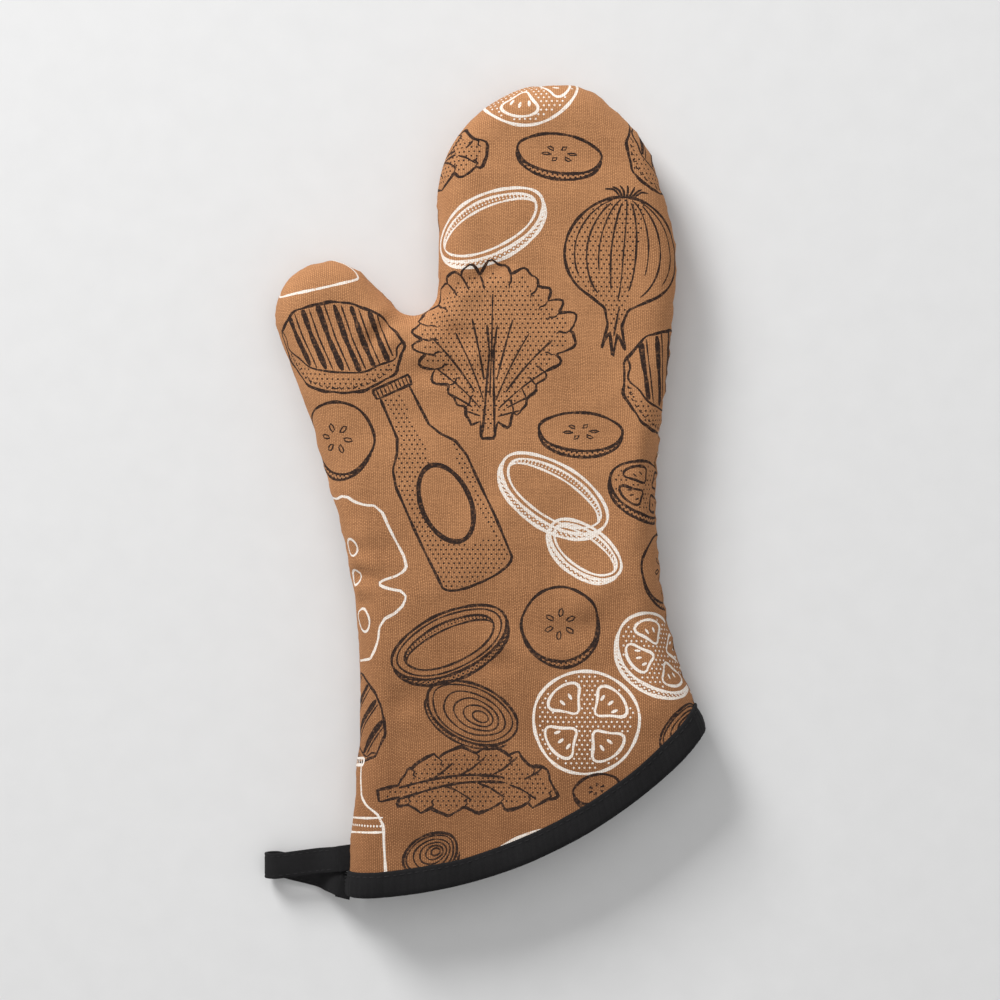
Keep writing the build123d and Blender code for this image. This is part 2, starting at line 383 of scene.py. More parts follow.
def smooth(field, sigma):
    """Gaussian blur of a grid of vectors, edges held."""
    radius = int(3 * sigma) + 1
    kernel = np.exp(-0.5 * (np.arange(-radius, radius + 1) / sigma) ** 2)
    kernel /= kernel.sum()
    for axis in (0, 1):
        pad = [(0, 0)] * field.ndim
        pad[axis] = (radius, radius)
        padded = np.pad(field, pad, mode="edge")
        steps = np.arange(field.shape[axis])
        field = sum(share * np.take(padded, i + steps, axis) for i, share in enumerate(kernel))
    return field


class Field:
    """Vectors on an even grid over the pattern, read anywhere with a smooth cubic spline."""

    def __init__(self, origin, values):
        self.origin = origin
        self.values = values

    def __call__(self, p):
        g = (p - self.origin) / GRID_STEP
        i = np.clip(np.floor(g).astype(int), 1, np.array(self.values.shape[:2]) - 3)
        f = np.clip(g - i, 0, 1)
        w = np.stack([(1 - f) ** 3, 3 * f**3 - 6 * f**2 + 4, -3 * f**3 + 3 * f**2 + 3 * f + 1, f**3], 0) / 6
        out = 0
        for a in range(4):
            for b in range(4):
                share = (w[a, :, 0] * w[b, :, 1])[:, None]
                out = out + share * self.values[i[:, 0] + a - 1, i[:, 1] + b - 1]
        return out


def displacement_fields():
    """How the simulation moved the cloth, as a smooth field per side."""
    points, tris, moved = simulate_mitt()
    flat = np.column_stack([points, np.zeros(len(points))])
    tree = BVHTree.FromPolygons(flat.tolist(), [list(t) for t in tris])
    lo, hi = points.min(0) - 6 * GRID_STEP, points.max(0) + 6 * GRID_STEP
    shape = np.ceil((hi - lo) / GRID_STEP).astype(int) + 1
    fields = {1: np.zeros((*shape, 3)), -1: np.zeros((*shape, 3))}
    for i in range(shape[0]):
        for j in range(shape[1]):
            x, y = lo + np.array([i, j]) * GRID_STEP
            hit, _, k, _ = tree.find_nearest((x, y, 0.0))
            t = tris[k]
            a, b, c = points[t[0]], points[t[1]], points[t[2]]
            m = np.array([[b[0] - a[0], c[0] - a[0]], [b[1] - a[1], c[1] - a[1]]])
            u, v = np.linalg.solve(m, np.array([hit.x, hit.y]) - a)
            for side in (1, -1):
                d = moved[side]
                fields[side][i, j] = d[t[0]] * (1 - u - v) + d[t[1]] * u + d[t[2]] * v
    out = {}
    for side, field in fields.items():
        field = field - smooth(field, WIDE_REACH / GRID_STEP) * np.array([0, 0, 1.0])
        share = WRINKLE_SHARE * (1 if side > 0 else BACK_SHARE)
        out[side] = Field(lo, smooth(field, 1.6) * share)
    return out


# Creases pressed into the palm: pattern points along each, depth, and half-width.
CREASES = [
    ([(-31, 71), (-38, 69), (-47, 60), (-52, 56)], 1.7, 3.0),
    ([(-22, 70), (-14, 66), (-8, 60), (-5, 56)], 1.7, 3.0),
    ([(-20, 79), (-10, 84), (2, 88), (14, 93)], 1.1, 2.6),
    ([(5, 64), (4, 56), (1, 49), (-6, 46)], 1.3, 3.4),
    ([(-35, 47), (-22, 49), (-12, 47), (-6, 46)], 1.2, 3.6),
    ([(-62, -35), (-50, -34), (-40, -37)], 1.5, 2.8),
    ([(-62, -46), (-52, -46), (-44, -44)], 0.9, 2.4),
    ([(-60, -26), (-44, -23), (-30, -24)], 0.7, 3.4),
    ([(-6, -66), (4, -71), (16, -69)], 1.3, 5.0),
    ([(20, -60), (34, -56), (52, -54)], 0.9, 5.0),
    ([(-40, -90), (-30, -84), (-22, -82)], 0.9, 4.5),
    ([(-44, -132), (-36, -124), (-30, -112)], 0.9, 5.5),
    ([(80, -52), (68, -50), (58, -52)], 0.7, 3.0),
    ([(84, 10), (72, 12), (62, 11)], 0.6, 3.0),
]
CREASE_DEPTH = 1.3      # scales them all
CREASE_FADE = 9.0       # length over which a crease dies out at its ends
CREASE_LIP = 0.45       # cloth pushed up beside it, as a share of the depth
PUCKER_DEPTH = 0.38     # gathers where the seam pulls the rim
PUCKER_REACH = 5.0


def crease_height(p):
    """Depth of the pressed creases at each pattern point, along the outward normal."""
    out = np.zeros(len(p))
    for points, depth, width in CREASES:
        line = resample(np.array(points, float), 2.0)
        run = np.linspace(0, 1, len(line))
        length = (len(line) - 1) * 2.0
        d2 = ((p[:, None] - line[None]) ** 2).sum(2)
        k = d2.argmin(1)
        gap = np.sqrt(d2.min(1))
        along = run[k] * length
        fade = np.clip(along / CREASE_FADE, 0.25, 1) * np.clip((length - along) / CREASE_FADE, 0, 1)
        x = gap / width
        out += CREASE_DEPTH * depth * fade * (-np.exp(-(x**2)) + CREASE_LIP * np.exp(-((x - 1.9) ** 2)))
    return out


def seam_pucker(p, s):
    """Small gathers beside the seam, even along it but of uneven depth."""
    along = np.arctan2(p[:, 1] - 10, p[:, 0]) * 55 + p[:, 1] * 0.35
    wave = np.sin(along * 0.95) + 0.7 * np.sin(along * 0.53 + 1.7) + 0.5 * np.sin(along * 1.71 + 0.6)
    return PUCKER_DEPTH * wave * np.exp(-(np.abs(s) / PUCKER_REACH) ** 2)


FIELDS = displacement_fields()


def cloth_surface(p, side):
    """Where each pattern point lies on the finished mitt."""
    place, normal, s = cloth_at_rest(p, side)
    lift = seam_pucker(p, s)
    if side > 0:
        lift = lift + crease_height(p)
    place = place + FIELDS[side](p) + normal * lift[:, None]
    low = place[:, 2] < LOW_Z + 1
    gap = place[low, 2] - LOW_Z
    place[low, 2] = LOW_Z + np.where(gap > 0, gap * gap * 0.25 + gap * 0.5 + 0.25, 0.25 * np.exp(2 * gap))
    return place


def normal_field(side):
    """Outward unit normals of the finished surface on an even grid."""
    shape = FIELDS[side].values.shape[:2]
    i, j = np.meshgrid(np.arange(shape[0]), np.arange(shape[1]), indexing="ij")
    p = FIELDS[side].origin + np.stack([i.ravel(), j.ravel()], 1) * GRID_STEP
    q = cloth_surface(p, side).reshape(*shape, 3)
    n = np.cross(np.gradient(q, axis=0), np.gradient(q, axis=1)) * side
    n /= np.maximum(np.linalg.norm(n, axis=2), 1e-9)[:, :, None]
    return Field(FIELDS[side].origin, n)


NORMALS = {side: normal_field(side) for side in (1, -1)}


def cloth(p, side, depth=0.0):
    """Finished surface `depth` below the canvas face, and its outward normals."""
    n = NORMALS[side](p)
    n /= np.maximum(np.linalg.norm(n, axis=1), 1e-9)[:, None]
    place = cloth_surface(p, side)
    return place - n * np.reshape(depth, (-1, 1)), n


# ============================ the printed drawings ============================

VIEW_CENTRE = (6.32, -3.43)     # plan point under the camera
DARK, LIGHT = 1, 2
LINE = 1.25             # width of a main line
FINE = 0.85
DOT = 0.44              # radius of a shading dot
DOT_PITCH = 2.15
LATTICE_PITCH = 1.05    # of the squares on the cut side of a slice
STROKE_STEP = 1.5
LEAST_INK_AREA = 0.01   # smaller shapes, or ones with shorter edges, are left out
LEAST_INK_EDGE = 0.01
SPOT = np.array([(math.cos(k * 2 * math.pi / 7), math.sin(k * 2 * math.pi / 7)) for k in range(7)])


class Print:
    """Ink shapes as polygons in pattern coordinates."""

    def __init__(self):
        self.polygons = []
        self.inks = []

    def add(self, polygon, ink):
        """Keeps a polygon, counter-clockwise; one that crosses itself is split first."""
        edge = np.roll(polygon, -1, 0) - polygon
        after = np.roll(edge, -1, 0)
        turn = edge[:, 0] * after[:, 1] - edge[:, 1] * after[:, 0]
        if len(polygon) == 4 and turn.min() < 0 < turn.max():
            self.add(polygon[[0, 1, 2]], ink)
            self.add(polygon[[0, 2, 3]], ink)
            return
        area = signed_area(polygon)
        if abs(area) > LEAST_INK_AREA and np.hypot(*edge.T).min() > LEAST_INK_EDGE:
            self.polygons.append(polygon if area > 0 else polygon[::-1])
            self.inks.append(ink)

    def shrink(self, centre, share):
        """Brings the drawings in, because the palm face is nearer the camera than the outline is."""
        centre = np.array(centre)
        self.polygons = [centre + (p - centre) * share for p in self.polygons]


class Pen:
    """Draws one thing: its own points are scaled, turned about its centre and moved into place."""

    def __init__(self, art, centre, tilt, ink, scale=1.0):
        self.art = art
        self.centre = centre
        self.ink = ink
        self.at = frame_at(centre, tilt, scale)
        self.across = self.at([(1, 0)])[0] - self.at([(0, 0)])[0]
        self.upward = np.array([-self.across[1], self.across[0]])

    def line(self, points, width=LINE, closed=False, swell=0.16, placed=False):
        """A hand-inked line whose width wavers; placed points are in pattern coordinates already."""
        line = np.asarray(points, float) if placed else self.at(points)
        line = resample(line, STROKE_STEP, closed)
        if closed:
            line = np.vstack([line, line[:1]])
        if len(line) < 2:
            return
        n = -line_normals(line)
        t = np.arange(len(line)) * STROKE_STEP
        phase = line[0, 0] * 0.7 + line[0, 1] * 0.3
        half = width / 2 * (1 + swell * np.sin(t * 0.33 + phase) + swell * 0.6 * np.sin(t * 0.81 + phase * 2))
        if closed:
            half[-1], n[-1] = half[0], n[0]
        else:
            half[[0, -1]] *= 0.55
        a, b = line + n * half[:, None], line - n * half[:, None]
        for i in range(len(line) - 1):
            self.art.add(np.array([b[i], b[i + 1], a[i + 1], a[i]]), self.ink)

    def ring(self, points, width=LINE, swell=0.16):
        """A closed line."""
        self.line(points, width, True, swell)

    def line_inside(self, points, region, width=FINE):
        """The stretches of a line that lie in a region."""
        line = resample(self.at(points), 0.8)
        ok = np.concatenate([inside(line, self.at(region)), [False]])
        start = None
        for i, here in enumerate(ok):
            if here and start is None:
                start = i
            if not here and start is not None:
                if i - start > 3:
                    self.line(line[start:i], width, placed=True)
                start = None

    def dot(self, point, radius=DOT):
        """A small round spot."""
        self.art.add(self.at([point])[0] + radius * SPOT, self.ink)

    def patch(self, points):
        """A solid shape."""
        self.art.add(self.at(points), self.ink)

    def shade(self, region, keep=None, holes=(), pitch=DOT_PITCH, radius=DOT):
        """Shading dots on an upright grid, inside a region and out of its holes."""
        points = hex_points(self.at(region), pitch, 1.2)
        for hole in holes:
            hole = self.at(hole)
            points = points[~inside(points, hole)]
            points = points[edge_gap(points, hole) > 1.0] if len(points) else points
        if keep is not None and len(points):
            points = points[keep(points - self.centre)]
        for p in points:
            self.art.add(p + radius * SPOT, self.ink)


def frame_at(centre, tilt, scale=1.0):
    """Function that scales points, turns them about their own origin and moves them to a centre."""
    c, s = math.cos(math.radians(tilt)), math.sin(math.radians(tilt))
    turn = np.array([[c, s], [-s, c]]) * scale
    return lambda q: np.asarray(q, float) @ turn + np.array(centre, float)


def oval(rx, ry, start=0, stop=360, count=64, wobble=0.0, lobes=3, phase=0.0):
    """Points round an ellipse, hand-drawn if it wobbles."""
    a = np.radians(np.linspace(start, stop, count, endpoint=abs(stop - start) < 360))
    r = 1 + wobble * np.sin(lobes * a + phase) + wobble * 0.6 * np.sin((lobes + 2) * a + 2 * phase)
    return np.stack([rx * r * np.cos(a), ry * r * np.sin(a)], 1)


def rounded(points, rounds=2):
    """A closed line with its corners cut round."""
    p = np.asarray(points, float)
    for _ in range(rounds):
        after = np.roll(p, -1, 0)
        p = np.stack([p * 0.75 + after * 0.25, p * 0.25 + after * 0.75], 1).reshape(-1, 2)
    return p


def dips(wave, first, last):
    """Indices at which a wave is lower than on both sides, leaving out some at its start and end."""
    return [i for i in range(first, len(wave) - last) if wave[i] < min(wave[i - 1], wave[i + 1])]


def rim_band(pen, rx, ry, thick):
    """The cut side of a slice below its face: an edge line and a lattice of small squares."""
    low = oval(rx, ry, 180, 360, 60)
    fall = np.sin(np.radians(np.linspace(0, 180, 60))) ** 0.45
    drop = np.array([0, -thick])
    pen.line(low + drop * fall[:, None], LINE * 0.95)
    rows = max(1, int(round(thick / LATTICE_PITCH)))
    run = resample(low, LATTICE_PITCH)
    for row in range(rows):
        level = (row + 0.7) / (rows + 0.35)
        for i in range(2, len(run) - 2):
            if (i + row) % 2 == 0:
                share = math.sin(math.pi * i / (len(run) - 1)) ** 0.45
                pen.dot(run[i] + drop * level * share, LATTICE_PITCH * 0.45)


def cucumber(art, centre, rx, ry, tilt, thick=2.6, seeds=6):
    """A round slice with a star of pointed seeds and its cut side."""
    pen = Pen(art, centre, tilt, DARK)
    pen.ring(oval(rx, ry, wobble=0.012, lobes=5), LINE * 0.95)
    rim_band(pen, rx, ry, thick)
    inner, outer, wide = 0.16, 0.44, 0.062
    belly = 0.6 * inner + 0.4 * outer
    seed = rounded([(inner, 0), (belly, wide), (outer * 0.94, wide * 0.8), (outer, 0),
                    (outer * 0.94, -wide * 0.8), (belly, -wide)], 1)
    for k in range(seeds):
        pen.ring(frame_at((0, 0), 360 * (k + 0.2) / seeds)(seed) * [rx, ry], FINE * 0.8, 0.1)


def onion_ring(art, centre, rx, ry, tilt, ink=DARK, thick=3.0, layers=0):
    """One ring of an onion lying at a slant, with its lit inner wall."""
    pen = Pen(art, centre, tilt, ink)
    pen.ring(oval(rx, ry, wobble=0.01), LINE * 0.95)
    rim_band(pen, rx, ry, thick)
    for k in range(layers):
        share = 0.91 - 0.085 * k
        pen.ring(oval(rx * share, ry * (share - 0.03), wobble=0.01, phase=k), FINE * 0.9)
    wide = 0.88 - 0.1 * layers
    tall = wide - 0.07 - 0.02 * layers
    pen.ring(oval(rx * wide, ry * tall, wobble=0.01), FINE * 1.1)
    pen.line(oval(rx * wide * 0.985, ry * tall * 0.70, 4, 176, 40) + [0, -ry * 0.02], FINE)
    for row, level in enumerate((0.93, 0.82)):
        band = oval(rx * wide * (0.97 - 0.02 * row), ry * tall * level, 12 + 6 * row, 168 - 6 * row)
        for q in resample(band, 1.5):
            pen.dot(q, 0.36)


def onion_slice(art, centre, rx, ry, tilt):
    """A whole slice of onion: rings inside each other, drawn towards one side."""
    pen = Pen(art, centre, tilt, DARK)
    pen.ring(oval(rx, ry, wobble=0.01), LINE * 0.9)
    for k, share in enumerate((0.88, 0.68, 0.5, 0.33, 0.18)):
        pen.ring(oval(rx * share, ry * share, wobble=0.02, phase=k) + [rx * 0.05 * k, 0], FINE * 0.85)
    pen.line(oval(rx, ry, 186, 340) + [0, -1.8], FINE)
    for q in resample(oval(rx * 0.99, ry, 196, 330) + [0, -0.9], 1.5):
        pen.dot(q, 0.3)


def tomato(art, centre, rx, ry, tilt, ink=LIGHT, thick=0.0, cells=4):
    """A round slice: seed chambers like rounded wedges in a dotted face."""
    pen = Pen(art, centre, tilt, ink)
    pen.ring(oval(rx, ry, wobble=0.008), LINE * 0.95)
    chambers = []
    spread = 0.5 * 360 / cells
    half = [(0.5, 0.52), (0.72, 0.72), (0.83, 0.5)]
    polar = [(0.17, 0), *half, (0.86, 0), *[(r, -w) for r, w in half[::-1]]]
    wedge = rounded([(r * math.cos(math.radians(w * spread)), r * math.sin(math.radians(w * spread)))
                     for r, w in polar])
    for k in range(cells):
        turn = frame_at((0, 0), 360 * (k + 0.5) / cells + 4 * math.sin(3 * k))
        chambers.append(turn(wedge) * [rx, ry])
        pen.ring(chambers[-1], LINE * 0.9)
        for j in (-1, 0, 1) if k % 2 == 0 else (-0.55, 0.55):
            seed = frame_at((0.6 - 0.05 * abs(j), 0.17 * j), 16 * j)(oval(0.07, 0.03, count=8))
            pen.patch(turn(seed) * [rx, ry])
    side = pen.at([(-0.6, 0.1)])[0] - pen.at([(0, 0)])[0]
    pen.shade(oval(rx * 0.97, ry * 0.97), lambda q: q @ side > -0.5 * rx, chambers)
    if thick:
        rim_band(pen, rx, ry, thick)


def whole_onion(art, centre, size, tilt):
    """A bulb with its dry neck at one end and root hairs at the other; size is its half-width."""
    pen = Pen(art, centre, tilt, DARK, size)
    a = np.linspace(0, math.pi, 40)
    half = np.stack([np.sin(a) * (1 - 0.10 * np.cos(a)), 0.88 * np.cos(a)], 1)
    neck = np.array([[0.2, -0.95], [0.12, -1.22], [0.2, -1.62]])
    right = np.vstack([half[:34], neck])
    left = right[::-1] * [-0.92, 1]
    body = np.vstack([right, [[0.02, -1.34]], left])
    pen.line(right, LINE * 0.95)
    pen.line(left, LINE * 0.95)
    pen.line([(0.2, -1.62), (0.06, -1.36), (0.0, -1.75), (-0.07, -1.34), (-0.18, -1.55)])
    pen.line([(0.05, -0.9), (0.03, -1.15), (0.0, -1.4)], FINE)
    for k in range(-4, 5):
        swing = k / 5.0 + 0.04
        meridian = np.stack([swing * np.sin(a) * (1 - 0.1 * np.cos(a)), 0.86 * np.cos(a)], 1)
        start = 2 + (abs(k) * 3) % 5
        stop = 36 - (abs(k) * 5) % 12
        pen.line_inside(meridian[start:stop], body, FINE * (0.95 if k % 2 else 0.75))
    for k in range(-3, 4):
        pen.line([(0.03 * k, 0.86), (0.075 * k + 0.02, 0.99), (0.12 * k, 1.07 - 0.01 * k * k)], FINE)
    pen.shade(body, lambda q: q[:, 0] - q[:, 1] * 0.2 < size * 0.25)


def lettuce(art, centre, width, height, tilt, ruffles=23):
    """A frilled leaf on its stem; the stem is at the bottom before it is turned."""
    pen = Pen(art, centre, tilt, DARK)
    a = np.radians(np.linspace(-70, 250, 520))
    bumps = np.abs(np.sin(ruffles * a / 2 + 0.9 * np.sin(2 * a + 0.4) + 0.7 * np.sin(5 * a + centre[0])))
    size = 0.12 + 0.045 * np.sin(4 * a + centre[1])
    frill = 0.90 + size * bumps ** 0.7 + 0.03 * np.sin(6 * a + 0.6) + 0.022 * np.sin(ruffles * 1.4 * a)
    fan = 0.52 + 0.48 * np.clip(0.70 + 0.85 * np.sin(a), 0, 1)
    foot = height / 2
    leaf = np.stack([width / 2 * frill * fan * np.cos(a), foot * (frill * np.sin(a) * 0.94 + 0.04)], 1)
    stem = np.array([(-0.05 * width, -0.8 * foot), (-0.04 * width, -foot), (0.035 * width, -foot * 0.99),
                     (0.05 * width, -0.8 * foot)])
    edge = np.vstack([leaf, stem])
    pen.ring(edge, LINE * 0.9, 0.25)
    for tip in leaf[dips(bumps, 2, 2)]:
        pen.line([tip, tip * 0.92 + [0.9, -0.5], tip * 0.86 + [0.4, 0.9], tip * 0.80 + [1.0, 0.4]], FINE)
    for sign in (-1, 1):
        pen.line([(sign * 0.035 * width, -0.94 * foot), (sign * 0.022 * width, -0.45 * foot),
                  (sign * 0.012 * width, 0.0), (sign * 0.03 * width, 0.3 * foot)], LINE * 0.8)
    root = np.array([0.0, -0.78 * foot])
    for k in range(-6, 7):
        lean = math.radians(90 + 12.5 * k)
        reach = foot * (1.62 - 0.75 * (abs(k) / 6) ** 1.3)
        bow = root + reach * 0.55 * np.array([math.cos(lean) * 0.62, math.sin(lean)])
        end = root + reach * np.array([math.cos(lean) * 1.05 * width / height, math.sin(lean)])
        t = np.linspace(0.16 + 0.12 * (k % 2), 0.74 + 0.13 * (k % 3 == 0), 14)[:, None]
        vein = root * (1 - t) ** 2 + 2 * bow * t * (1 - t) + end * t**2
        pen.line_inside(vein, edge, FINE * (1.0 if k % 2 else 0.8))
    pen.shade(edge * 0.93)


def long_leaf(art, centre, length, width, tilt, ruffles=11):
    """A long frilled leaf on its side, its stem to the left before it is turned."""
    pen = Pen(art, centre, tilt, DARK)
    t = np.linspace(0.0, 1.0, 230)
    x = length * (-0.38 + 0.88 * t)
    spine = length * 0.055 * np.sin(math.pi * np.clip(t * 1.15, 0, 1.15))
    swell = np.sin(math.pi * np.clip(0.06 + 0.92 * t, 0, 1)) ** 0.55
    sides = []
    for side in (1, -1):
        wave = np.abs(np.sin(ruffles * math.pi * t * 0.5 + 0.5 * np.sin(7 * t) + 0.8 * side))
        half = width * 0.40 * swell * (0.80 + 0.30 * wave ** 0.7 + 0.07 * np.sin(9 * t + side))
        lean = 0.022 * length * np.sin(ruffles * math.pi * t + side)
        sides.append(np.stack([x + lean, spine + side * half], 1))
        for tip in sides[-1][dips(wave, 6, 12)]:
            curl = np.array([(0, 0), (1.4, -side * 1.2), (0.5, -side * 2.6), (1.7, -side * 3.4)])
            pen.line(tip + curl, FINE)
    stem = np.array([(-0.38 * length, -0.05 * width), (-0.5 * length, -0.09 * width),
                     (-0.505 * length, 0.06 * width), (-0.38 * length, 0.10 * width)])
    edge = np.vstack([sides[0], sides[1][::-1], stem])
    pen.ring(edge, LINE, 0.25)
    for shift in (-0.055, 0.055):
        rib = np.stack([x, spine + shift * width * (1.25 - t)], 1)[::12]
        pen.line_inside(rib[:14], edge, LINE * 0.85)
    for k in range(1, 8):
        side = 1 if k % 2 else -1
        i = 18 + 24 * k
        start = np.array([x[i], spine[i] + side * 0.05 * width])
        pen.line_inside([start, start + [0.07 * length, side * 0.07 * width],
                         start + [0.15 * length, side * 0.2 * width]], edge)
    pen.shade(edge * 0.94)


def patty(art, centre, rx, ry, tilt, bars=5):
    """A grilled patty: rough outline, dark grill bars on top, crumbly lower side."""
    pen = Pen(art, centre, tilt, DARK)
    edge = oval(rx, ry, count=150, wobble=0.018, lobes=9)
    edge = edge * (1 + 0.018 * np.abs(np.sin(np.arange(150) * 0.42)))[:, None]
    pen.ring(edge, LINE * 0.95, 0.25)
    top = oval(rx * 0.95, ry * 0.78, wobble=0.025, lobes=8) + [0, ry * 0.2]
    pen.line(oval(rx * 0.97, ry * 0.76, 176, 364, wobble=0.03, lobes=9) + [0, ry * 0.2], FINE)
    for k in range(bars):
        x = rx * (-0.66 + 1.32 * k / (bars - 1))
        bar = np.array([(x - 0.24 * rx, ry * 0.95), (x - 0.02 * rx, ry * 0.2), (x + 0.24 * rx, -ry * 0.5)])
        pen.line_inside(bar, top, LINE * 1.7)
        pen.line_inside(bar + [0.11 * rx, 0], top, FINE * 0.8)
    pen.shade(edge, holes=[top])
    crumbs = int(rx * 0.8)
    for k in range(crumbs):
        a = math.radians(200 + 140 * k / crumbs)
        q = 0.90 * np.array([rx * math.cos(a), ry * math.sin(a)])
        pen.line([q + [-1.0, 0.4], q + [0.1, -0.5], q + [1.0, 0.5 if k % 2 else -0.3]], FINE * 0.8)


def bottle(art, centre, length, width, tilt, ink=DARK, band=None):
    """A sauce bottle, its neck at the top: dotted with a blank oval label, or plain with one band."""
    pen = Pen(art, centre, tilt, ink)
    w, h = width / 2, length / 2
    side = np.array([(w * 0.40, h * 0.9), (w * 0.44, h * 0.50), (w * 0.60, h * 0.38), (w * 0.88, h * 0.26),
                     (w, h * 0.10), (w, -h * 0.5), (w * 0.97, -h * 0.92)])
    base = oval(w * 0.97, w * 0.3, -4, -176, 20) + [0, -h * 0.9]
    body = np.vstack([side, base, side[::-1] * [-1, 1]])
    pen.line(body, LINE * 0.9)
    pen.ring([(-w * 0.48, h * 0.91), (-w * 0.50, h), (w * 0.50, h), (w * 0.48, h * 0.91)], LINE * 0.9)
    for k in range(9):
        x = w * (-0.4 + 0.1 * k)
        pen.line([(x, h * 0.915), (x, h * 0.995)], FINE * 0.8)
    if band is None:
        label = oval(w * 0.62, h * 0.37) + [0, -h * 0.22]
        pen.ring(label, LINE * 1.6, 0.08)
        pen.shade(body, lambda q: ((q @ pen.across < w * 0.1) | (q @ pen.upward < -h * 0.66)
                                   | (q @ pen.across > w * 0.72)), [label])
    else:
        low, high = band * h - 4, band * h
        pen.shade([(-w, low), (w, low), (w, high), (-w, high)], pitch=1.6, radius=0.5)
        for y in (low - 1, high + 1):
            pen.line([(-w, y), (w, y)], FINE)


def cheese(art, centre, width, height, tilt):
    """A slice of cheese with melted corners and round holes."""
    pen = Pen(art, centre, tilt, LIGHT)
    half = np.array([width, height]) / 2
    edge = [(-1, 1), (-0.2, 0.92), (0.05, 0.99), (0.3, 0.86), (0.62, 0.82), (0.78, 0.5), (1, 0.14),
            (0.92, 0.02), (0.5, -0.06), (0.55, -0.12), (0.98, -0.2), (0.84, -0.4), (0.5, -0.52),
            (0.42, -0.8), (0.2, -1), (-1, -0.9)]
    holes = [(0.05, 0.36, 0.15), (0, 0, 0.13), (0.12, -0.5, 0.2), (-0.45, 0.6, 0.13), (-0.5, -0.5, 0.14)]
    pen.ring(rounded(edge * half, 1), LINE * 0.85)
    for x, y, r in holes:
        pen.ring(oval(r * width * 0.42, r * width * 0.46) + np.array([x, y]) * half, FINE * 1.1)


def bun(art, centre, rx, ry, tilt, seeded=False):
    """Half a bread roll: a dome on a flat cut face."""
    pen = Pen(art, centre, tilt, LIGHT)
    dome = oval(rx, ry, -6, 186, 50)
    pen.ring(np.vstack([dome, oval(rx * 0.98, ry * 0.2, 190, 350, 24) + [0, -ry * 0.12]]), LINE * 0.85)
    if seeded:
        for k in range(9):
            q = (rx * (-0.6 + 0.15 * k), ry * (0.45 + 0.22 * math.sin(2.4 * k)))
            pen.patch(frame_at(q, 40 * k)(oval(1.3, 0.6, count=8)))


def draw_front(art):
    """Drawings on the palm, at given places."""
    tomato(art, (17.4, 171), 22, 21, 35)
    cucumber(art, (30.5, 138), 17, 8, -8)
    long_leaf(art, (-22, 135), 48, 30, 14, ruffles=8)
    patty(art, (76, 143), 17, 20, -30, bars=4)
    onion_ring(art, (1.5, 109), 24.5, 12, 25, LIGHT)
    whole_onion(art, (55.5, 98.5), 25, -5)
    lettuce(art, (2.5, 57.5), 70, 72, -2)
    patty(art, (-60, 59), 26, 18, -4, bars=6)
    bun(art, (-69.5, 87), 19, 14, 12)
    cucumber(art, (-60.5, 22), 15.3, 15, -20)
    bottle(art, (-20, 4), 90, 32, 24.5)
    cucumber(art, (38.7, 24.5), 17, 7.8, -4)
    onion_ring(art, (28, -1), 24.5, 12, -33, LIGHT)
    onion_ring(art, (41, -24), 17, 9, -36, LIGHT, 2.2)
    patty(art, (78, 45), 22, 21, -12, bars=5)
    tomato(art, (69, 1), 19, 11, -14, DARK, 2.6)
    cucumber(art, (80, -31), 15, 14, 10)
    cheese(art, (-57, -36), 52, 70, 4)
    onion_ring(art, (-14, -62), 25, 12.5, 24, layers=1)
    onion_slice(art, (-5, -91), 19.5, 11.5, -25)
    cucumber(art, (31, -54.5), 15.8, 15.3, 15)
    tomato(art, (74, -66), 20.5, 15.5, -24, LIGHT, 3.0)
    tomato(art, (41.5, -94.5), 21.5, 21, -6)
    patty(art, (-57, -93), 19, 15, -60, bars=4)
    long_leaf(art, (-7, -122), 72, 33, 4)
    bottle(art, (-60, -141), 62, 38, 2, LIGHT, 0.18)
    onion_slice(art, (-22, -149), 12, 8, 30)
    bun(art, (18, -150.5), 24, 9.5, 24)
    cucumber(art, (46, -122), 9.5, 6, 14)
    onion_slice(art, (84, -97), 14, 8, 40)
    art.shrink(VIEW_CENTRE, 0.987)


def draw_back(art):
    """Drawings on the back: the same kitchen, in another order."""
    cucumber(art, (4, 158), 15, 14, 12)
    tomato(art, (48, 150), 20, 19, -20, LIGHT)
    bottle(art, (8, 112), 78, 28, -38)
    onion_slice(art, (60, 112), 17, 10, 30)
    lettuce(art, (48, 70), 60, 62, 20)
    onion_ring(art, (-1, 66), 22, 11, 20, LIGHT)
    patty(art, (-62, 66), 24, 17, -30, bars=5)
    cucumber(art, (-46, 30), 16, 8, -10)
    whole_onion(art, (-8, 28), 21, 18)
    tomato(art, (40, 18), 20, 14, -20, LIGHT, 2.8)
    cheese(art, (76, 38), 40, 52, -10)
    lettuce(art, (-40, -16), 58, 60, -30)
    cucumber(art, (10, -16), 15, 14.5, 0)
    patty(art, (52, -22), 24, 18, 20, bars=6)
    onion_ring(art, (-28, -62), 24, 12, -24)
    tomato(art, (18, -56), 19, 18.5, 30, LIGHT)
    onion_slice(art, (62, -64), 18, 11, -18)
    bottle(art, (-20, -108), 74, 28, 74)
    cucumber(art, (50, -92), 16, 8, 22)
    long_leaf(art, (22, -132), 56, 30, 20)
    tomato(art, (-40, -142), 18, 16, 0, LIGHT)
    bun(art, (80, -84), 18, 12, 36, seeded=True)
    onion_ring(art, (-8, -158), 16, 8, 10, LIGHT, 2.2)


# ============================ materials ============================

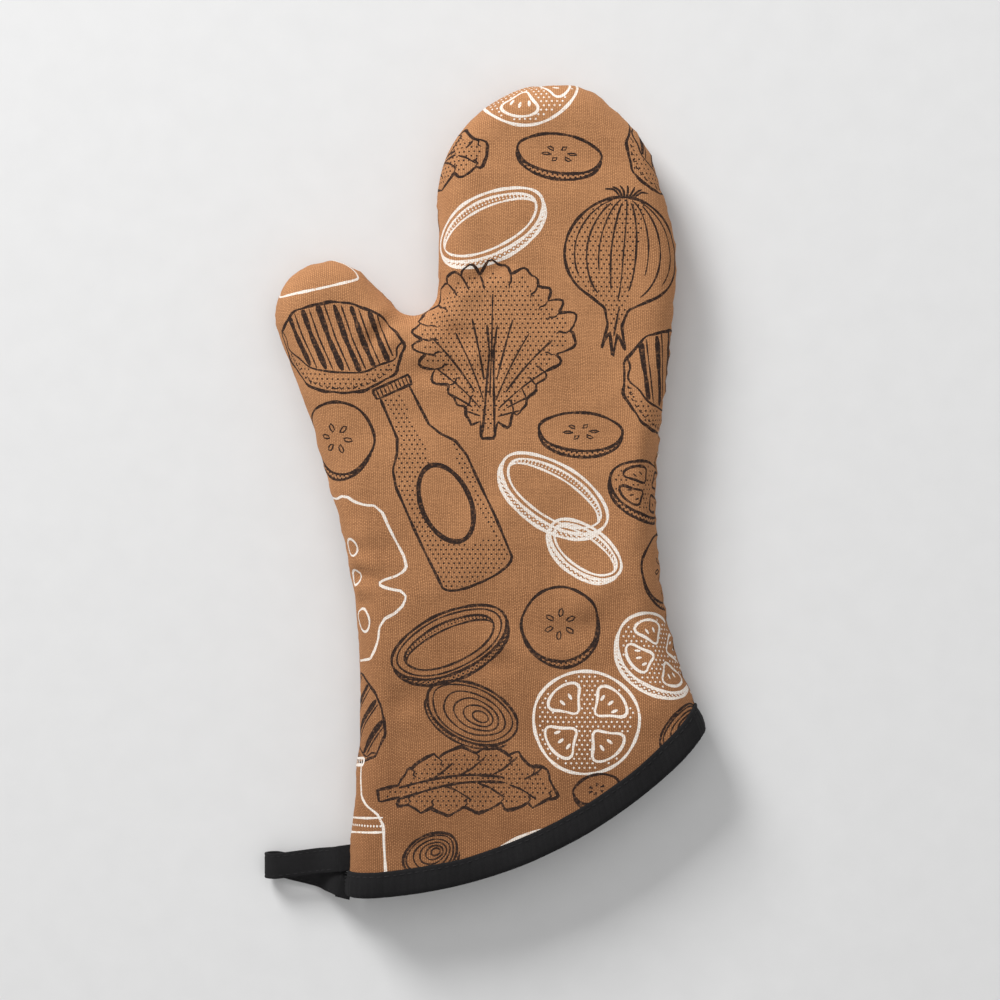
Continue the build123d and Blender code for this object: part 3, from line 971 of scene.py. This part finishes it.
class Value:
    """A node's output on which plain arithmetic works, each operation a Math node."""

    def __init__(self, graph, socket):
        self.graph = graph
        self.socket = socket

    def __add__(self, other):
        return self.graph.math("ADD", self, other)

    def __radd__(self, other):
        return self.graph.math("ADD", other, self)

    def __sub__(self, other):
        return self.graph.math("SUBTRACT", self, other)

    def __mul__(self, other):
        return self.graph.math("MULTIPLY", self, other)

    def __truediv__(self, other):
        return self.graph.math("DIVIDE", self, other)

    def __pow__(self, other):
        return self.graph.math("POWER", self, other)


class Graph:
    """A new material's nodes."""

    def __init__(self, name):
        self.material = bpy.data.materials.new(name)
        self.material.use_nodes = True
        self.tree = self.material.node_tree
        self.tree.nodes.clear()

    def node(self, kind, inputs=(), **settings):
        """Adds a node; its inputs, by name or number, take values or other nodes' outputs."""
        node = self.tree.nodes.new("ShaderNode" + kind)
        for key, value in settings.items():
            setattr(node, key, value)
        for key, value in dict(inputs).items():
            if isinstance(value, Value):
                self.tree.links.new(value.socket, node.inputs[key])
            else:
                node.inputs[key].default_value = value
        return node

    def value(self, kind, inputs=(), output=0, **settings):
        """Adds a node and gives one of its outputs."""
        return Value(self, self.node(kind, inputs, **settings).outputs[output])

    def math(self, operation, *inputs):
        """Adds a Math node on its inputs, in order."""
        return self.value("Math", enumerate(inputs), operation=operation)

    def mix(self, factor, a, b):
        """One of two numbers, or something between them."""
        return self.value("Mix", {0: factor, 2: a, 3: b}, data_type="FLOAT")

    def noise(self, place, scale, detail, **settings):
        """Soft random shade at a place."""
        return self.value("TexNoise", {"Vector": place, "Scale": scale, "Detail": detail}, "Fac", **settings)

    def ramp(self, factor, *stops):
        """Colours at two positions, and a smooth run between them."""
        node = self.node("ValToRGB", {0: factor})
        for element, (position, colour) in zip(node.color_ramp.elements, stops):
            element.position = position
            element.color = colour
        return Value(self, node.outputs[0])

    def finish(self, **inputs):
        """Adds the shader, with the values and wires for its inputs, and gives the material."""
        sockets = {key.replace("_", " "): value for key, value in inputs.items()}
        self.node("OutputMaterial", {0: self.value("BsdfPrincipled", sockets)})
        return self.material


def linear(rgb):
    """Scene-linear colour of an sRGB triple in 0..255."""
    v = np.array(rgb) / 255
    return (*np.where(v <= 0.04045, v / 12.92, ((v + 0.055) / 1.055) ** 2.4).tolist(), 1.0)


WEAVE_PITCH = 0.80      # millimetres from warp thread to warp thread
WEFT_SHARE = 0.70       # the weft threads lie closer together
WEAVE_DRIFT = 2.2       # millimetres by which threads wander off a straight line
BLACK = linear((0, 0, 0))
WHITE = linear((255, 255, 255))
PAINTED_SHADE_Y = (-175.0, 60.0)       # painted shade: darker at the cuff, lighter towards the fingers, as the light falls off


def weave(graph, pitch, place):
    """Plain-weave height, thread shade and cell grain, from coordinates in millimetres."""
    split = graph.node("SeparateXYZ", {0: place})
    x, y = (Value(graph, split.outputs[axis]) for axis in ("X", "Y"))
    drift = (graph.noise(place, 0.07, 2.0, noise_dimensions="2D") - 0.5) * WEAVE_DRIFT
    u = (x + drift) / pitch
    v = (y - drift) / (pitch * WEFT_SHARE)
    warp, weft = graph.math("FLOOR", u), graph.math("FLOOR", v)
    across_u = graph.math("SINE", graph.math("FRACT", u) * math.pi)
    across_v = graph.math("SINE", graph.math("FRACT", v) * math.pi)
    weft_up = graph.math("ABSOLUTE", graph.math("MODULO", warp + weft, 2.0))
    over_warp = across_u ** 0.8 * (0.35 + across_v * 0.65)
    over_weft = across_v ** 0.8 * (0.25 + across_u * 0.45)
    height = graph.mix(weft_up, over_warp, over_weft)
    cell = graph.value("CombineXYZ", {0: warp, 1: weft})
    grain = graph.value("TexWhiteNoise", {"Vector": cell}, "Value", noise_dimensions="2D")
    warp_shade = graph.value("TexWhiteNoise", {"W": warp}, "Value", noise_dimensions="1D")
    weft_shade = graph.value("TexWhiteNoise", {"W": weft + 37.5}, "Value", noise_dimensions="1D")
    return height, graph.mix(weft_up, warp_shade, weft_shade), grain


def cloth_material(name, low, high, pitch=WEAVE_PITCH, relief=0.12, sheen=0.35, worn=None,
                   use_pattern=True, painted_shade=0.0):
    """Woven cloth: painted shade between the threads and painted highlight on their tops, uneven colour,
    sheen and relief.
    """
    graph = Graph(name)
    if use_pattern:
        place = graph.value("Attribute", output="Vector", attribute_name="pattern")
    else:
        metres = graph.value("TexCoord", output="Object")
        place = graph.value("VectorMath", {0: metres, "Scale": 1 / MM}, operation="SCALE")
    height, thread, grain = weave(graph, pitch, place)
    blotch = graph.noise(place, 0.035, 3.0)
    # the weave's height sets most of the tone: painted shade in the gaps between threads and painted
    # highlight on their tops; the thread shades, grain and blotches are the cloth's own uneven colour
    tone = height * 0.86 + thread * 0.10 + grain * 0.14 + (blotch - 0.5) * 0.35
    # painted shade: the canvas darkens towards the cuff and lightens a little towards the fingers, in place
    # of the light's falloff
    if painted_shade:
        y = graph.value("SeparateXYZ", {0: place}, "Y")
        spread = {0: y, 1: PAINTED_SHADE_Y[0], 2: PAINTED_SHADE_Y[1], 3: -painted_shade, 4: painted_shade * 0.25}
        tone = tone + graph.value("MapRange", spread, interpolation_type="SMOOTHSTEP")
    colour = graph.ramp(tone, (0.15, linear(low)), (0.95, linear(high)))
    if worn is not None:
        bare = grain * 0.45 + graph.noise(place, 0.9, 3.0) * 0.75 - height * 0.22
        gate = graph.ramp(bare, (0.62, BLACK), (0.82, WHITE))
        colour = graph.value("Mix", {0: gate, 6: colour, 7: linear(worn)}, 2, data_type="RGBA")
    threads = graph.value("Bump", {"Height": height, "Strength": 0.9, "Distance": relief * MM})
    fuzz = graph.noise(place, 1.9, 4.0)
    bump = graph.value("Bump", {"Height": fuzz, "Strength": 0.35, "Distance": 0.12 * MM, "Normal": threads})
    return graph.finish(Base_Color=colour, Normal=bump, Roughness=0.9, Specular_IOR_Level=0.18,
                        Sheen_Weight=sheen, Sheen_Roughness=0.55, Sheen_Tint=linear(high))


CANVAS = cloth_material("canvas", (120, 79, 50), (207, 150, 104), painted_shade=0.26)
INK_DARK = cloth_material("ink_dark", (30, 22, 20), (66, 48, 40), worn=(120, 84, 58), sheen=0.15)
INK_LIGHT = cloth_material("ink_light", (214, 200, 186), (255, 251, 245), worn=(205, 168, 138), sheen=0.15)
LINING = cloth_material("lining", (178, 166, 150), (226, 216, 202), pitch=0.5, relief=0.06)
BATTING = cloth_material("batting", (206, 202, 194), (240, 238, 232), pitch=2.6, relief=0.5, sheen=0.5)
THREAD = cloth_material("seam_thread", (120, 82, 54), (190, 140, 100), pitch=0.3, relief=0.05,
                        use_pattern=False)
BLACK_TAPE = cloth_material("black_tape", (13, 13, 14), (40, 39, 40), pitch=0.42, relief=0.06, sheen=0.25)
BLACK_THREAD = cloth_material("black_thread", (14, 14, 15), (60, 59, 60), pitch=0.22, relief=0.04,
                              sheen=0.3, use_pattern=False)


# ============================ making the pieces ============================

def piece(name, verts, faces, materials, face_material=None, pattern=None, normals=None):
    """A finished mesh object, smooth; `pattern` is what its weave follows, and normals are optional."""
    obj = make_mesh(name, verts, faces)
    mesh = obj.data
    for material in materials:
        mesh.materials.append(material)
    if face_material is not None:
        mesh.polygons.foreach_set("material_index", list(map(int, face_material)))
    if pattern is not None:
        data = np.zeros((len(mesh.vertices), 3), np.float32)
        data[:, :2] = pattern
        mesh.attributes.new("pattern", "FLOAT_VECTOR", "POINT").data.foreach_set("vector", data.ravel())
    mesh.polygons.foreach_set("use_smooth", [True] * len(mesh.polygons))
    if normals is not None:
        mesh.normals_split_custom_set_from_vertices([tuple(n) for n in normals])
    mesh.update()
    return obj


def joined(parts):
    """One vertex list and face list from several."""
    verts, faces, start = [], [], 0
    for v, f in parts:
        verts.append(v)
        faces.extend([tuple(i + start for i in face) for face in f])
        start += len(v)
    return np.vstack(verts), faces


def capped_tube(sections):
    """Points and faces of a tube through sections of equal count, closed at both ends."""
    count, last = len(sections[0]), (len(sections) - 1) * len(sections[0])
    faces = [tuple(range(count))[::-1], tuple(range(last, last + count))]
    for start in range(0, last, count):
        for k in range(count):
            a, b = start + k, start + (k + 1) % count
            faces.append((a, b, b + count, a + count))
    return np.vstack(sections), faces


def stands_for(obj, slot, *nodes):
    """Takes the place of CAD nodes, which it hides; `slot` is not used."""
    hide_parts(*nodes)
    return obj


def across_fold(obj):
    """Bakes the object's transform into its mesh."""
    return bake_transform(obj)


def across_fingers(obj):
    """Bakes the object's transform into its mesh, through across_fold."""
    return across_fold(obj)


def across_thumb(obj):
    """Bakes the object's transform into its mesh, through across_fold."""
    return across_fold(obj)


# ============================ pattern pieces ============================

CROTCH_TIP = np.array([-28.7, 82.5]) - PLAN_CENTRE
CROTCH_LINE = np.array([math.cos(CROTCH_LINE_ANGLE), math.sin(CROTCH_LINE_ANGLE)])
THUMB_SIDE = np.array([CROTCH_LINE[1], -CROTCH_LINE[0]])
CROTCH_ARC = np.array([-28.7, 83.35]) - PLAN_CENTRE     # centre of the round corner between thumb and fingers
CROTCH_ARC_RADIUS = 9.3
CROTCH_ZONE = 12.0
CROTCH_BARE = 4.5       # no ink this near it, where the rim stretches the cloth most
THUMB_BASE = 20.0       # the seam meets the thumb's base line further out than this
PANEL_STEP = 2.0        # spacing along the edges
PANEL_GRID = 2.6        # spacing inside
INNER_STEP = 3.0        # the same for padding and lining
BATTING_GRID = 3.0
LINING_GRID = 3.4
LAYER_GAP = 0.3         # keeps the padding clear of canvas and lining


def thumb_run(line):
    """Where the thumb starts and ends along a seam line, and how far off its base line each point is."""
    off = (line - CROTCH) @ -THUMB_SIDE
    along = (line - CROTCH) @ CROTCH_LINE
    start = next(i for i in range(len(line) - 1) if off[i] * off[i + 1] <= 0 and along[i] > THUMB_BASE)
    return start, int(np.linalg.norm(line - CROTCH_TIP, axis=1).argmin()), off


def pattern_regions(radius, step):
    """Clockwise boundaries of the hand and the thumb, which share the line out of the crotch."""
    edge = pattern_edge(radius, step)
    cuff = cuff_line(radius, int(CUFF_LENGTH / step))[::-1]
    left, tip, off = thumb_run(edge)
    t = off[left] / (off[left] - off[left + 1])
    corner = edge[left] * (1 - t) + edge[left + 1] * t
    inward = resample(np.array([corner, CROTCH]), step)
    outward = resample(np.array([CROTCH, edge[tip]]), step)
    split = np.vstack([inward, outward[1:]])
    hand = np.vstack([edge[:left + 1], split, edge[tip + 1:], cuff[1:-1]])
    thumb = np.vstack([edge[left + 1:tip], split[::-1]])
    sewn = {"hand": (len(edge) - tip + left) * step, "thumb": (tip - left) * step}
    return {"hand": hand, "thumb": thumb}, sewn


def cut_size(boundary, sewn, depth):
    """Flat width, length and area, in metres, of a layer cut smaller the deeper it lies in the rim."""
    less = depth * math.pi / 2
    width, length = np.ptp(boundary, axis=0)
    area = abs(signed_area(boundary)) - sewn * less
    return ((width - 2 * less) * MM, (length - less) * MM), area * MM * MM


def grid_points(boundary, step):
    """Points inside a piece, closer together round the crotch, where the rim spreads the cloth."""
    points = hex_points(boundary, step, step * 0.5)
    points = points[np.linalg.norm(points - CROTCH_ARC, axis=1) > CROTCH_ZONE]
    extra = []
    inner = CROTCH_ARC_RADIUS - ROLL_OUT
    for out in (0.35, 0.8, 1.4, 2.1, 3.0, 4.0, 5.2, 6.5, 8.0, 9.6):
        spread = inner + out + ROLL_OUT * (1 - out / 20)
        for a in np.radians(np.arange(180.0, 372.0, math.degrees(step * 0.8 / spread))):
            extra.append(CROTCH_ARC + (inner + out) * np.array([math.cos(a), math.sin(a)]))
    extra = np.array(extra)
    extra = extra[inside(extra, boundary)]
    extra = extra[edge_gap(extra, boundary) > 0.12]
    if len(extra):
        points = points[((points[:, None] - extra[None]) ** 2).sum(2).min(1) > (0.3 * step) ** 2]
    return np.vstack([points, extra])


def border_loop(tris):
    """The triangles' outer edge, in order."""
    edges = dict.fromkeys((a, b) for t in tris for a, b in zip(t, (*t[1:], t[0])))
    after = {a: b for a, b in edges if (b, a) not in edges}
    loop = [next(iter(after))]
    while after[loop[-1]] != loop[0]:
        loop.append(after[loop[-1]])
    return loop


def prints_on(art, boundary):
    """The ink polygons that reach into a pattern piece, clear of the crotch, and their inks."""
    corners = np.vstack(art.polygons)
    starts = np.cumsum([0] + [len(p) for p in art.polygons[:-1]])
    near = np.logical_or.reduceat(inside(corners, boundary), starts)
    clear = np.linalg.norm(corners - CROTCH_ARC, axis=1) > CROTCH_BARE
    near &= np.logical_and.reduceat(clear, starts)
    return [p for p, ok in zip(art.polygons, near) if ok], [i for i, ok in zip(art.inks, near) if ok]


def triangle_inks(centres, found, polygons, inks):
    """The ink of each triangle: that of the last polygon it is in, or 0."""
    low = [p.min(0) - 0.01 for p in polygons]
    high = [p.max(0) + 0.01 for p in polygons]
    out = []
    for centre, ids in zip(centres, found):
        on = [i - 1 for i in sorted(ids) if i]
        on = [i for i in on if (centre > low[i]).all() and (centre < high[i]).all()]
        out.append(inks[on[-1]] if on else 0)
    return out


def layer(name, side, boundary, materials, outer, inner, art=None, grid=PANEL_GRID, inner_grid=PANEL_GRID):
    """A closed sheet between two depths of the cloth, cut to a pattern boundary."""
    polygons, inks = prints_on(art, boundary) if art else ([], [])
    points, tris, found = triangulate(boundary, grid_points(boundary, grid), polygons)
    ink = triangle_inks(points[np.array(tris)].mean(1), found, polygons, inks)
    loop = border_loop(tris)
    points2, tris2, _ = triangulate(points[loop][::-1], grid_points(points[loop], inner_grid))
    place = {tuple(np.round(points2[i], 4)): i for i in border_loop(tris2)}
    match = [place.get(tuple(np.round(points[i], 4))) for i in loop]
    out, out_n = cloth(points, side, outer)
    low, low_n = cloth(points2, side, inner)
    n = len(points)
    faces = [tuple(t) for t in tris] + [tuple(n + i for i in t[::-1]) for t in tris2]
    for k, j in zip(range(len(loop)), [*range(1, len(loop)), 0]):
        if match[k] is not None and match[j] is not None:
            faces.append((loop[k], n + match[k], n + match[j], loop[j]))
    if side < 0:
        faces = [face[::-1] for face in faces]
    ink += [0] * (len(faces) - len(ink))
    return piece(name, np.vstack([out, low]), faces, materials, ink,
                 np.vstack([points, points2]), np.vstack([out_n, -low_n]))


NAMES = {1: "front", -1: "back"}
NODES = {"hand": ("palm", "fingers"), "thumb": ("thumb",)}
BENDS = {"hand": across_fingers, "thumb": across_thumb}
REGIONS, SEWN = pattern_regions(CLOTH_RADIUS, PANEL_STEP)
INNER_REGIONS, INNER_SEWN = pattern_regions(CLOTH_RADIUS, INNER_STEP)


def finish_layer(obj, region, kind, side, slot):
    """Bakes a layer's transform and hides the CAD nodes that it takes the place of."""
    BENDS[region](obj)
    stands_for(obj, slot, *[f"{kind}_{NAMES[side]}_{body}" for body in NODES[region]])


def make_panel(side, drawings):
    """Canvas, padding and lining of one side, each as a hand piece and a thumb piece."""
    art = Print()
    drawings(art)
    for region in ("hand", "thumb"):
        name = f"{NAMES[side]}_{region}"
        size, area = cut_size(REGIONS[region], SEWN[region], 0.0)
        inks = (CANVAS, INK_DARK, INK_LIGHT)
        canvas = layer(f"canvas_{name}", side, REGIONS[region], inks, 0.0, OUTER_T, art)
        finish_layer(canvas, region, "outer", side, "canvas")
        coarse = INNER_REGIONS[region]
        batting = layer(f"wadding_{name}", side, coarse, (BATTING,), OUTER_T + LAYER_GAP,
                        OUTER_T + BATTING_T - LAYER_GAP, None, BATTING_GRID, LINING_GRID)
        finish_layer(batting, region, "batting", side, "batting")
        size, area = cut_size(coarse, INNER_SEWN[region], WALL_T)
        lining = layer(f"inner_cloth_{name}", side, coarse, (LINING,), OUTER_T + BATTING_T, WALL_T, None,
                       LINING_GRID, LINING_GRID)
        finish_layer(lining, region, "lining", side, "lining")


make_panel(1, draw_front)
make_panel(-1, draw_back)


# ============================ thread ============================

SEAM_PITCH = 2.9
SEAM_STITCH = 2.2
SEAM_SINK = 0.25        # the seam's thread lies in the groove


def stitch(a, b, up, radius, arch, rings=6, sides=6):
    """One thread stitch from a to b: a fat little arc with tucked-in ends."""
    along = (b - a) / np.linalg.norm(b - a)
    across = np.cross(up, along)
    across /= np.linalg.norm(across)
    w = 2 * math.pi * np.arange(sides) / sides
    circle = across * np.cos(w)[:, None] + up * 0.8 * np.sin(w)[:, None]
    sections = []
    for k in np.linspace(0, 1, rings):
        centre = a + (b - a) * k + up * (arch * math.sin(math.pi * k) - 0.1)
        share = 0.35 + 0.65 * math.sin(math.pi * min(max(k, 0.04), 0.96)) ** 0.5
        sections.append(centre + circle * radius * share)
    return capped_tube(sections)


def stitch_row(line, up, span, pitch, length, sink, *thread):
    """Stitches of one length along a line, between a distance from its start and one from its end."""
    run = run_along(line)
    sunk = line - up * sink
    parts = []
    for at in np.arange(span[0], run[-1] - span[1], pitch):
        i, j = np.searchsorted(run, (at, at + length))
        parts.append(stitch(sunk[i], sunk[j], up[i], *thread))
    return joined(parts)


def seam_stitches(name, line, *nodes):
    """Small stitches lying in the groove between the two panels."""
    share = np.array([0, 0.25, 0.5, 0.75])[:, None]
    fine = np.vstack([a + (b - a) * share for a, b in zip(line[:-1], line[1:])])
    top, top_n = cloth(fine, 1)
    low, low_n = cloth(fine, -1)
    up = top_n + low_n
    up /= np.linalg.norm(up, axis=1)[:, None]
    span = (0.6, SEAM_STITCH)
    row = stitch_row((top + low) / 2, up, span, SEAM_PITCH, SEAM_STITCH, SEAM_SINK, 0.24, 0.08, 5, 5)
    return stands_for(piece(name, *row, (THREAD,)), "seam_thread", *nodes)


seam = pattern_edge(CUFF_RADIUS - BINDING_WIDTH, 1.0)
thumb_start, thumb_end, _ = thumb_run(seam)
across_thumb(seam_stitches("seam_stitches_thumb", seam[thumb_start:thumb_end], "seam_thread_thumb"))
across_fingers(seam_stitches("seam_stitches_fingers", seam[thumb_end:],
                             "seam_thread_palm", "seam_thread_fingers"))
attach(seam_stitches("seam_stitches_side", seam[:thumb_start], "seam_thread_palm"), "palm")


# ============================ cuff binding ============================

# The folded tape's section: radius from the cuff's centre, and depth below the canvas face.
BINDING_SECTION = [
    (185.5, 0.12), (185.45, -0.35), (185.7, -0.72), (186.3, -0.9), (187.3, -0.72), (188.6, -0.95),
    (191.0, -1.02), (193.6, -0.95), (195.0, -0.6), (195.75, 0.1), (196.0, 1.2), (196.1, 3.0), (196.0, 4.8),
    (195.75, 5.9), (195.0, 6.55), (193.0, 6.8), (190.0, 6.75), (187.3, 6.6), (186.2, 6.7), (185.6, 6.5),
    (185.5, 5.95),
]
BINDING_STEP = 1.0
BINDING_POINTS = 232    # along one side of the mouth
BINDING_INSIDE = 6.0    # deeper than this the tape lies flat on the lining
FLOOR_GAP = 0.05
TOPSTITCH_RADIUS = 187.3
TOPSTITCH_RISE = 0.78   # above the canvas face, on the tape
TOPSTITCH_PITCH = 3.1
TOPSTITCH = 2.2


def mouth_ring(radius, depth):
    """A closed line round the mouth at one radius and depth: palm side, then back."""
    p = cuff_line(radius, BINDING_POINTS)
    front, _ = cloth(p, 1, depth)
    back, _ = cloth(p, -1, depth)
    for i in (0, -1):
        front[i] = (front[i] + back[i]) / 2
    back[:, 2] = np.maximum(back[:, 2], FLOOR_GAP)
    return np.vstack([front, back[-2:0:-1]])


def bind_cuff():
    """Tape folded over the raw edge, drawn in a little by its stitches."""
    t = np.arange(BINDING_POINTS) * BINDING_STEP
    total = 2 * BINDING_POINTS - 2
    across = run_along(np.array(BINDING_SECTION))
    rings, pattern = [], []
    for k, (radius, depth) in enumerate(BINDING_SECTION):
        pull = 0.10 * np.sin(t * 1.9 + 0.5) + 0.08 * np.sin(t * 0.83 + k * 0.12)
        pull *= np.clip(np.minimum(t, t[::-1]) / 6, 0, 1) * (depth < BINDING_INSIDE)
        rings.append(mouth_ring(radius, depth + pull))
        pattern.append(np.stack([np.arange(total) * BINDING_STEP, np.full(total, across[k])], 1))
    faces = []
    for r in range(len(rings)):
        for i in range(total):
            a, b = r * total, (r + 1) % len(rings) * total
            j = (i + 1) % total
            faces.append((a + i, a + j, b + j, b + i))
    tape = piece("cuff_tape", np.vstack(rings), faces, (BLACK_TAPE,), pattern=np.vstack(pattern))
    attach(stands_for(tape, "binding", "cuff_binding"), "palm")


def topstitch(side):
    """The row of stitches that holds the binding on one side."""
    line, up = cloth(cuff_line(TOPSTITCH_RADIUS, 6000), side, -TOPSTITCH_RISE)
    line[:, 2] = np.maximum(line[:, 2], FLOOR_GAP + 0.45)
    row = stitch_row(line, up, (4.0, 5.0), TOPSTITCH_PITCH, TOPSTITCH, 0.0, 0.24, 0.12)
    obj = piece(f"cuff_stitches_{NAMES[side]}", *row, (BLACK_THREAD,))
    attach(stands_for(obj, "black_thread", f"binding_topstitch_{NAMES[side]}"), "palm")


bind_cuff()
topstitch(1)
topstitch(-1)


# ============================ hanging loop ============================

TAPE_WIDTH = 10.5
TAPE_T = 1.5
BEND_RADIUS = 5.25
STITCH_INSET = 1.3      # from the tape's edge to its row of stitches
LOOP_TIP = np.array([-91.0, -152.6]) - PLAN_CENTRE
LOOP_BEND_X = LOOP_TIP[0] + BEND_RADIUS
LOOP_ROOT_X = -59.6 - PLAN_CENTRE[0]
# Each leg's root in y, its height in the loop and its height at the seam: the upper one, then the lower.
LOOP_LEGS = ((-149.0 - PLAN_CENTRE[1], 2 * BEND_RADIUS - TAPE_T / 2, SEAM_Z + TAPE_T / 2),
             (-159.2 - PLAN_CENTRE[1], TAPE_T / 2, SEAM_Z - TAPE_T / 2))


def loop_line():
    """Middle line of the folded tape from the upper root round the tip to the lower root."""
    legs = []
    for root_y, level, seam_z in LOOP_LEGS:
        t = np.linspace(0, 1.06, 34)
        rise = np.clip((t - 0.58) / 0.44, 0, 1)
        legs.append(np.stack([LOOP_BEND_X + (LOOP_ROOT_X - LOOP_BEND_X) * t,
                              LOOP_TIP[1] + (root_y - LOOP_TIP[1]) * t,
                              level + (seam_z - level) * rise * rise * (3 - 2 * rise)], 1))
    k = np.linspace(math.pi / 2, math.pi * 1.5, 17)[1:-1]
    r = BEND_RADIUS - TAPE_T / 2
    bend = np.stack([LOOP_BEND_X + r * np.cos(k), np.full(15, LOOP_TIP[1]), BEND_RADIUS + r * np.sin(k)], 1)
    line = np.vstack([legs[0][::-1], bend, legs[1]])
    held = np.pad(line, ((2, 2), (0, 0)), mode="edge")
    soft = [np.convolve(axis, [0.1, 0.2, 0.4, 0.2, 0.1], "valid") for axis in held.T]
    return resample(np.stack(soft, 1), 1.0)


def tape_section(width, thick):
    """Cross-section of double-fold tape: soft edges, a groove beside each row of stitches."""
    w, h = width / 2, thick / 2
    right = [(1.4, h * 1.05), (w - 2.1, h * 1.02), (w - 1.3, h * 0.8), (w - 0.5, h), (w - 0.12, h * 0.7),
             (w, 0)]
    top = [(-x, y) for x, y in right[::-1]] + right
    return np.array(top + [(x, -y) for x, y in top[-2:0:-1]])


def hang_loop():
    """The loop's tape with its four rows of stitches, two on each face."""
    line = loop_line()
    along = np.gradient(line, axis=0)
    along /= np.linalg.norm(along, axis=1)[:, None]
    across = np.array([0, 1.0, 0]) - along * along[:, 1:2]
    across /= np.linalg.norm(across, axis=1)[:, None]
    up = np.cross(along, across)
    section = tape_section(TAPE_WIDTH, TAPE_T * 0.92)
    sections, pattern = [], []
    for i, p in enumerate(line):
        wave = 0.18 * math.sin(i * 0.31) + 0.1 * math.sin(i * 0.77 + 1)
        rise = section[:, 1:] + wave * (section[:, :1] / 5) ** 2
        sections.append(p + across[i] * section[:, :1] + up[i] * rise)
        pattern += [(i, x + (20 if y < 0 else 0)) for x, y in section]
    verts, faces = capped_tube(sections)
    verts[:, 2] = np.maximum(verts[:, 2], FLOOR_GAP)
    tape = piece("loop_tape", verts, faces, (BLACK_TAPE,), pattern=pattern)
    parts = []
    for side in (-1, 1):
        for i in range(5, len(line) - 7, 3):
            for face in (-1, 1):
                row = line + across * side * (TAPE_WIDTH / 2 - STITCH_INSET) + up * face * TAPE_T * 0.40
                parts.append(stitch(row[i], row[i + 2], up[i] * face, 0.2, 0.1, 5, 5))
    thread = piece("loop_stitches", *joined(parts), (BLACK_THREAD,))
    stands_for(tape, "binding", "hanging_loop")
    for obj in (tape, thread):
        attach(obj, "hanging_loop")
    run_along(line)[-1] * MM


def loop_ends():
    """The tape's two ends, sewn into the side seam; they carry on from the legs."""
    section = tape_section(TAPE_WIDTH * 1.02, TAPE_T * 0.95)
    parts = []
    for root_y, _, z in LOOP_LEGS:
        slope = (root_y - LOOP_TIP[1]) / (LOOP_ROOT_X - LOOP_BEND_X)
        w, h = section.T
        parts.append(capped_tube([np.stack([LOOP_ROOT_X + x - w * slope, root_y + x * slope + w, z + h], 1)
                                  for x in np.linspace(5.5, -0.4, 8)]))
    verts, faces = joined(parts)
    obj = piece("loop_ends", verts, faces, (BLACK_TAPE,), pattern=verts[:, :2])
    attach(obj, "palm")


def bar_tack():
    """Thread packed across the loop's roots against the side seam."""
    lo, hi = (np.array(v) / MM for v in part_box("loop_bartack"))
    parts = []
    for k, y in enumerate(np.linspace(lo[1] + 0.5, hi[1] - 0.5, 24)):
        a = np.array([lo[0] + 0.2, y, SEAM_Z - 0.9])
        b = np.array([lo[0] + 0.2, y + 0.35 * (-1) ** k, SEAM_Z + 0.9])
        parts.append(stitch(a, b, np.array([-1.0, 0, 0]), 0.34, 0.25, 7, 6))
        end = np.array([hi[0] - 0.2, y, SEAM_Z + 0.7])
        parts.append(stitch(b + [0.1, 0, -0.1], end, np.array([0, 0, 1.0]), 0.3, 0.1, 5, 6))
    obj = piece("loop_bar_tack", *joined(parts), (BLACK_THREAD,))
    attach(stands_for(obj, "black_thread", "loop_bartack"), "palm")


hang_loop()
loop_ends()
bar_tack()


# ============================ floor, light and camera ============================

VIEW_WIDTH = 410.0      # millimetres across the picture, at the seam's height
LENS = 100.0
SENSOR = 36.0
FLOOR_REACH = 4000.0
WORLD_LIGHT = 0.34


def paper_floor():
    """A wide sheet of pale studio paper."""
    graph = Graph("paper")
    grain = graph.value("TexNoise", {"Scale": 600.0, "Detail": 3.0}, "Fac")
    colour = graph.ramp(grain, (0.0, linear((217, 217, 217))), (1.0, linear((223, 223, 223))))
    paper = graph.finish(Base_Color=colour, Roughness=0.9, Specular_IOR_Level=0.1)
    r = FLOOR_REACH
    floor = make_mesh("floor", [(-r, -r, 0), (r, -r, 0), (r, r, 0), (-r, r, 0)], [(0, 1, 2, 3)])
    floor.data.materials.append(paper)


def soft_light(name, place, target, size, power):
    """A square soft box that faces its target; metres and watts."""
    data = bpy.data.lights.new(name, "AREA")
    data.shape = "RECTANGLE"
    data.size = data.size_y = size
    data.energy = power
    lamp = bpy.data.objects.new(name, data)
    lamp.location = place
    lamp.rotation_euler = (Vector(target) - Vector(place)).to_track_quat("-Z", "Y").to_euler()
    bpy.context.scene.collection.objects.link(lamp)


def light_world():
    """An even, dim white all round."""
    world = bpy.data.worlds.new("studio")
    world.use_nodes = True
    background = world.node_tree.nodes["Background"]
    background.inputs["Color"].default_value = WHITE
    background.inputs["Strength"].default_value = WORLD_LIGHT
    bpy.context.scene.world = world


def place_camera():
    """Straight above the mitt, as in the photograph."""
    data = bpy.data.cameras.new("camera")
    data.lens = LENS
    data.sensor_width = SENSOR
    camera = bpy.data.objects.new("camera", data)
    camera.location = (VIEW_CENTRE[0] * MM, VIEW_CENTRE[1] * MM, (VIEW_WIDTH * LENS / SENSOR + SEAM_Z) * MM)
    bpy.context.scene.collection.objects.link(camera)
    bpy.context.scene.camera = camera
    bpy.context.scene.view_settings.view_transform = "Standard"


paper_floor()
soft_light("key", (-1.2, 1.73, 1.25), (0, 0.05, 0), 0.96, 59)
soft_light("fill", (0.9, -0.5, 1.3), (0, 0, 0), 1.6, 2)
soft_light("overhead", (0.0, 0.35, 1.9), (0, 0, 0), 1.8, 10)
light_world()
place_camera()
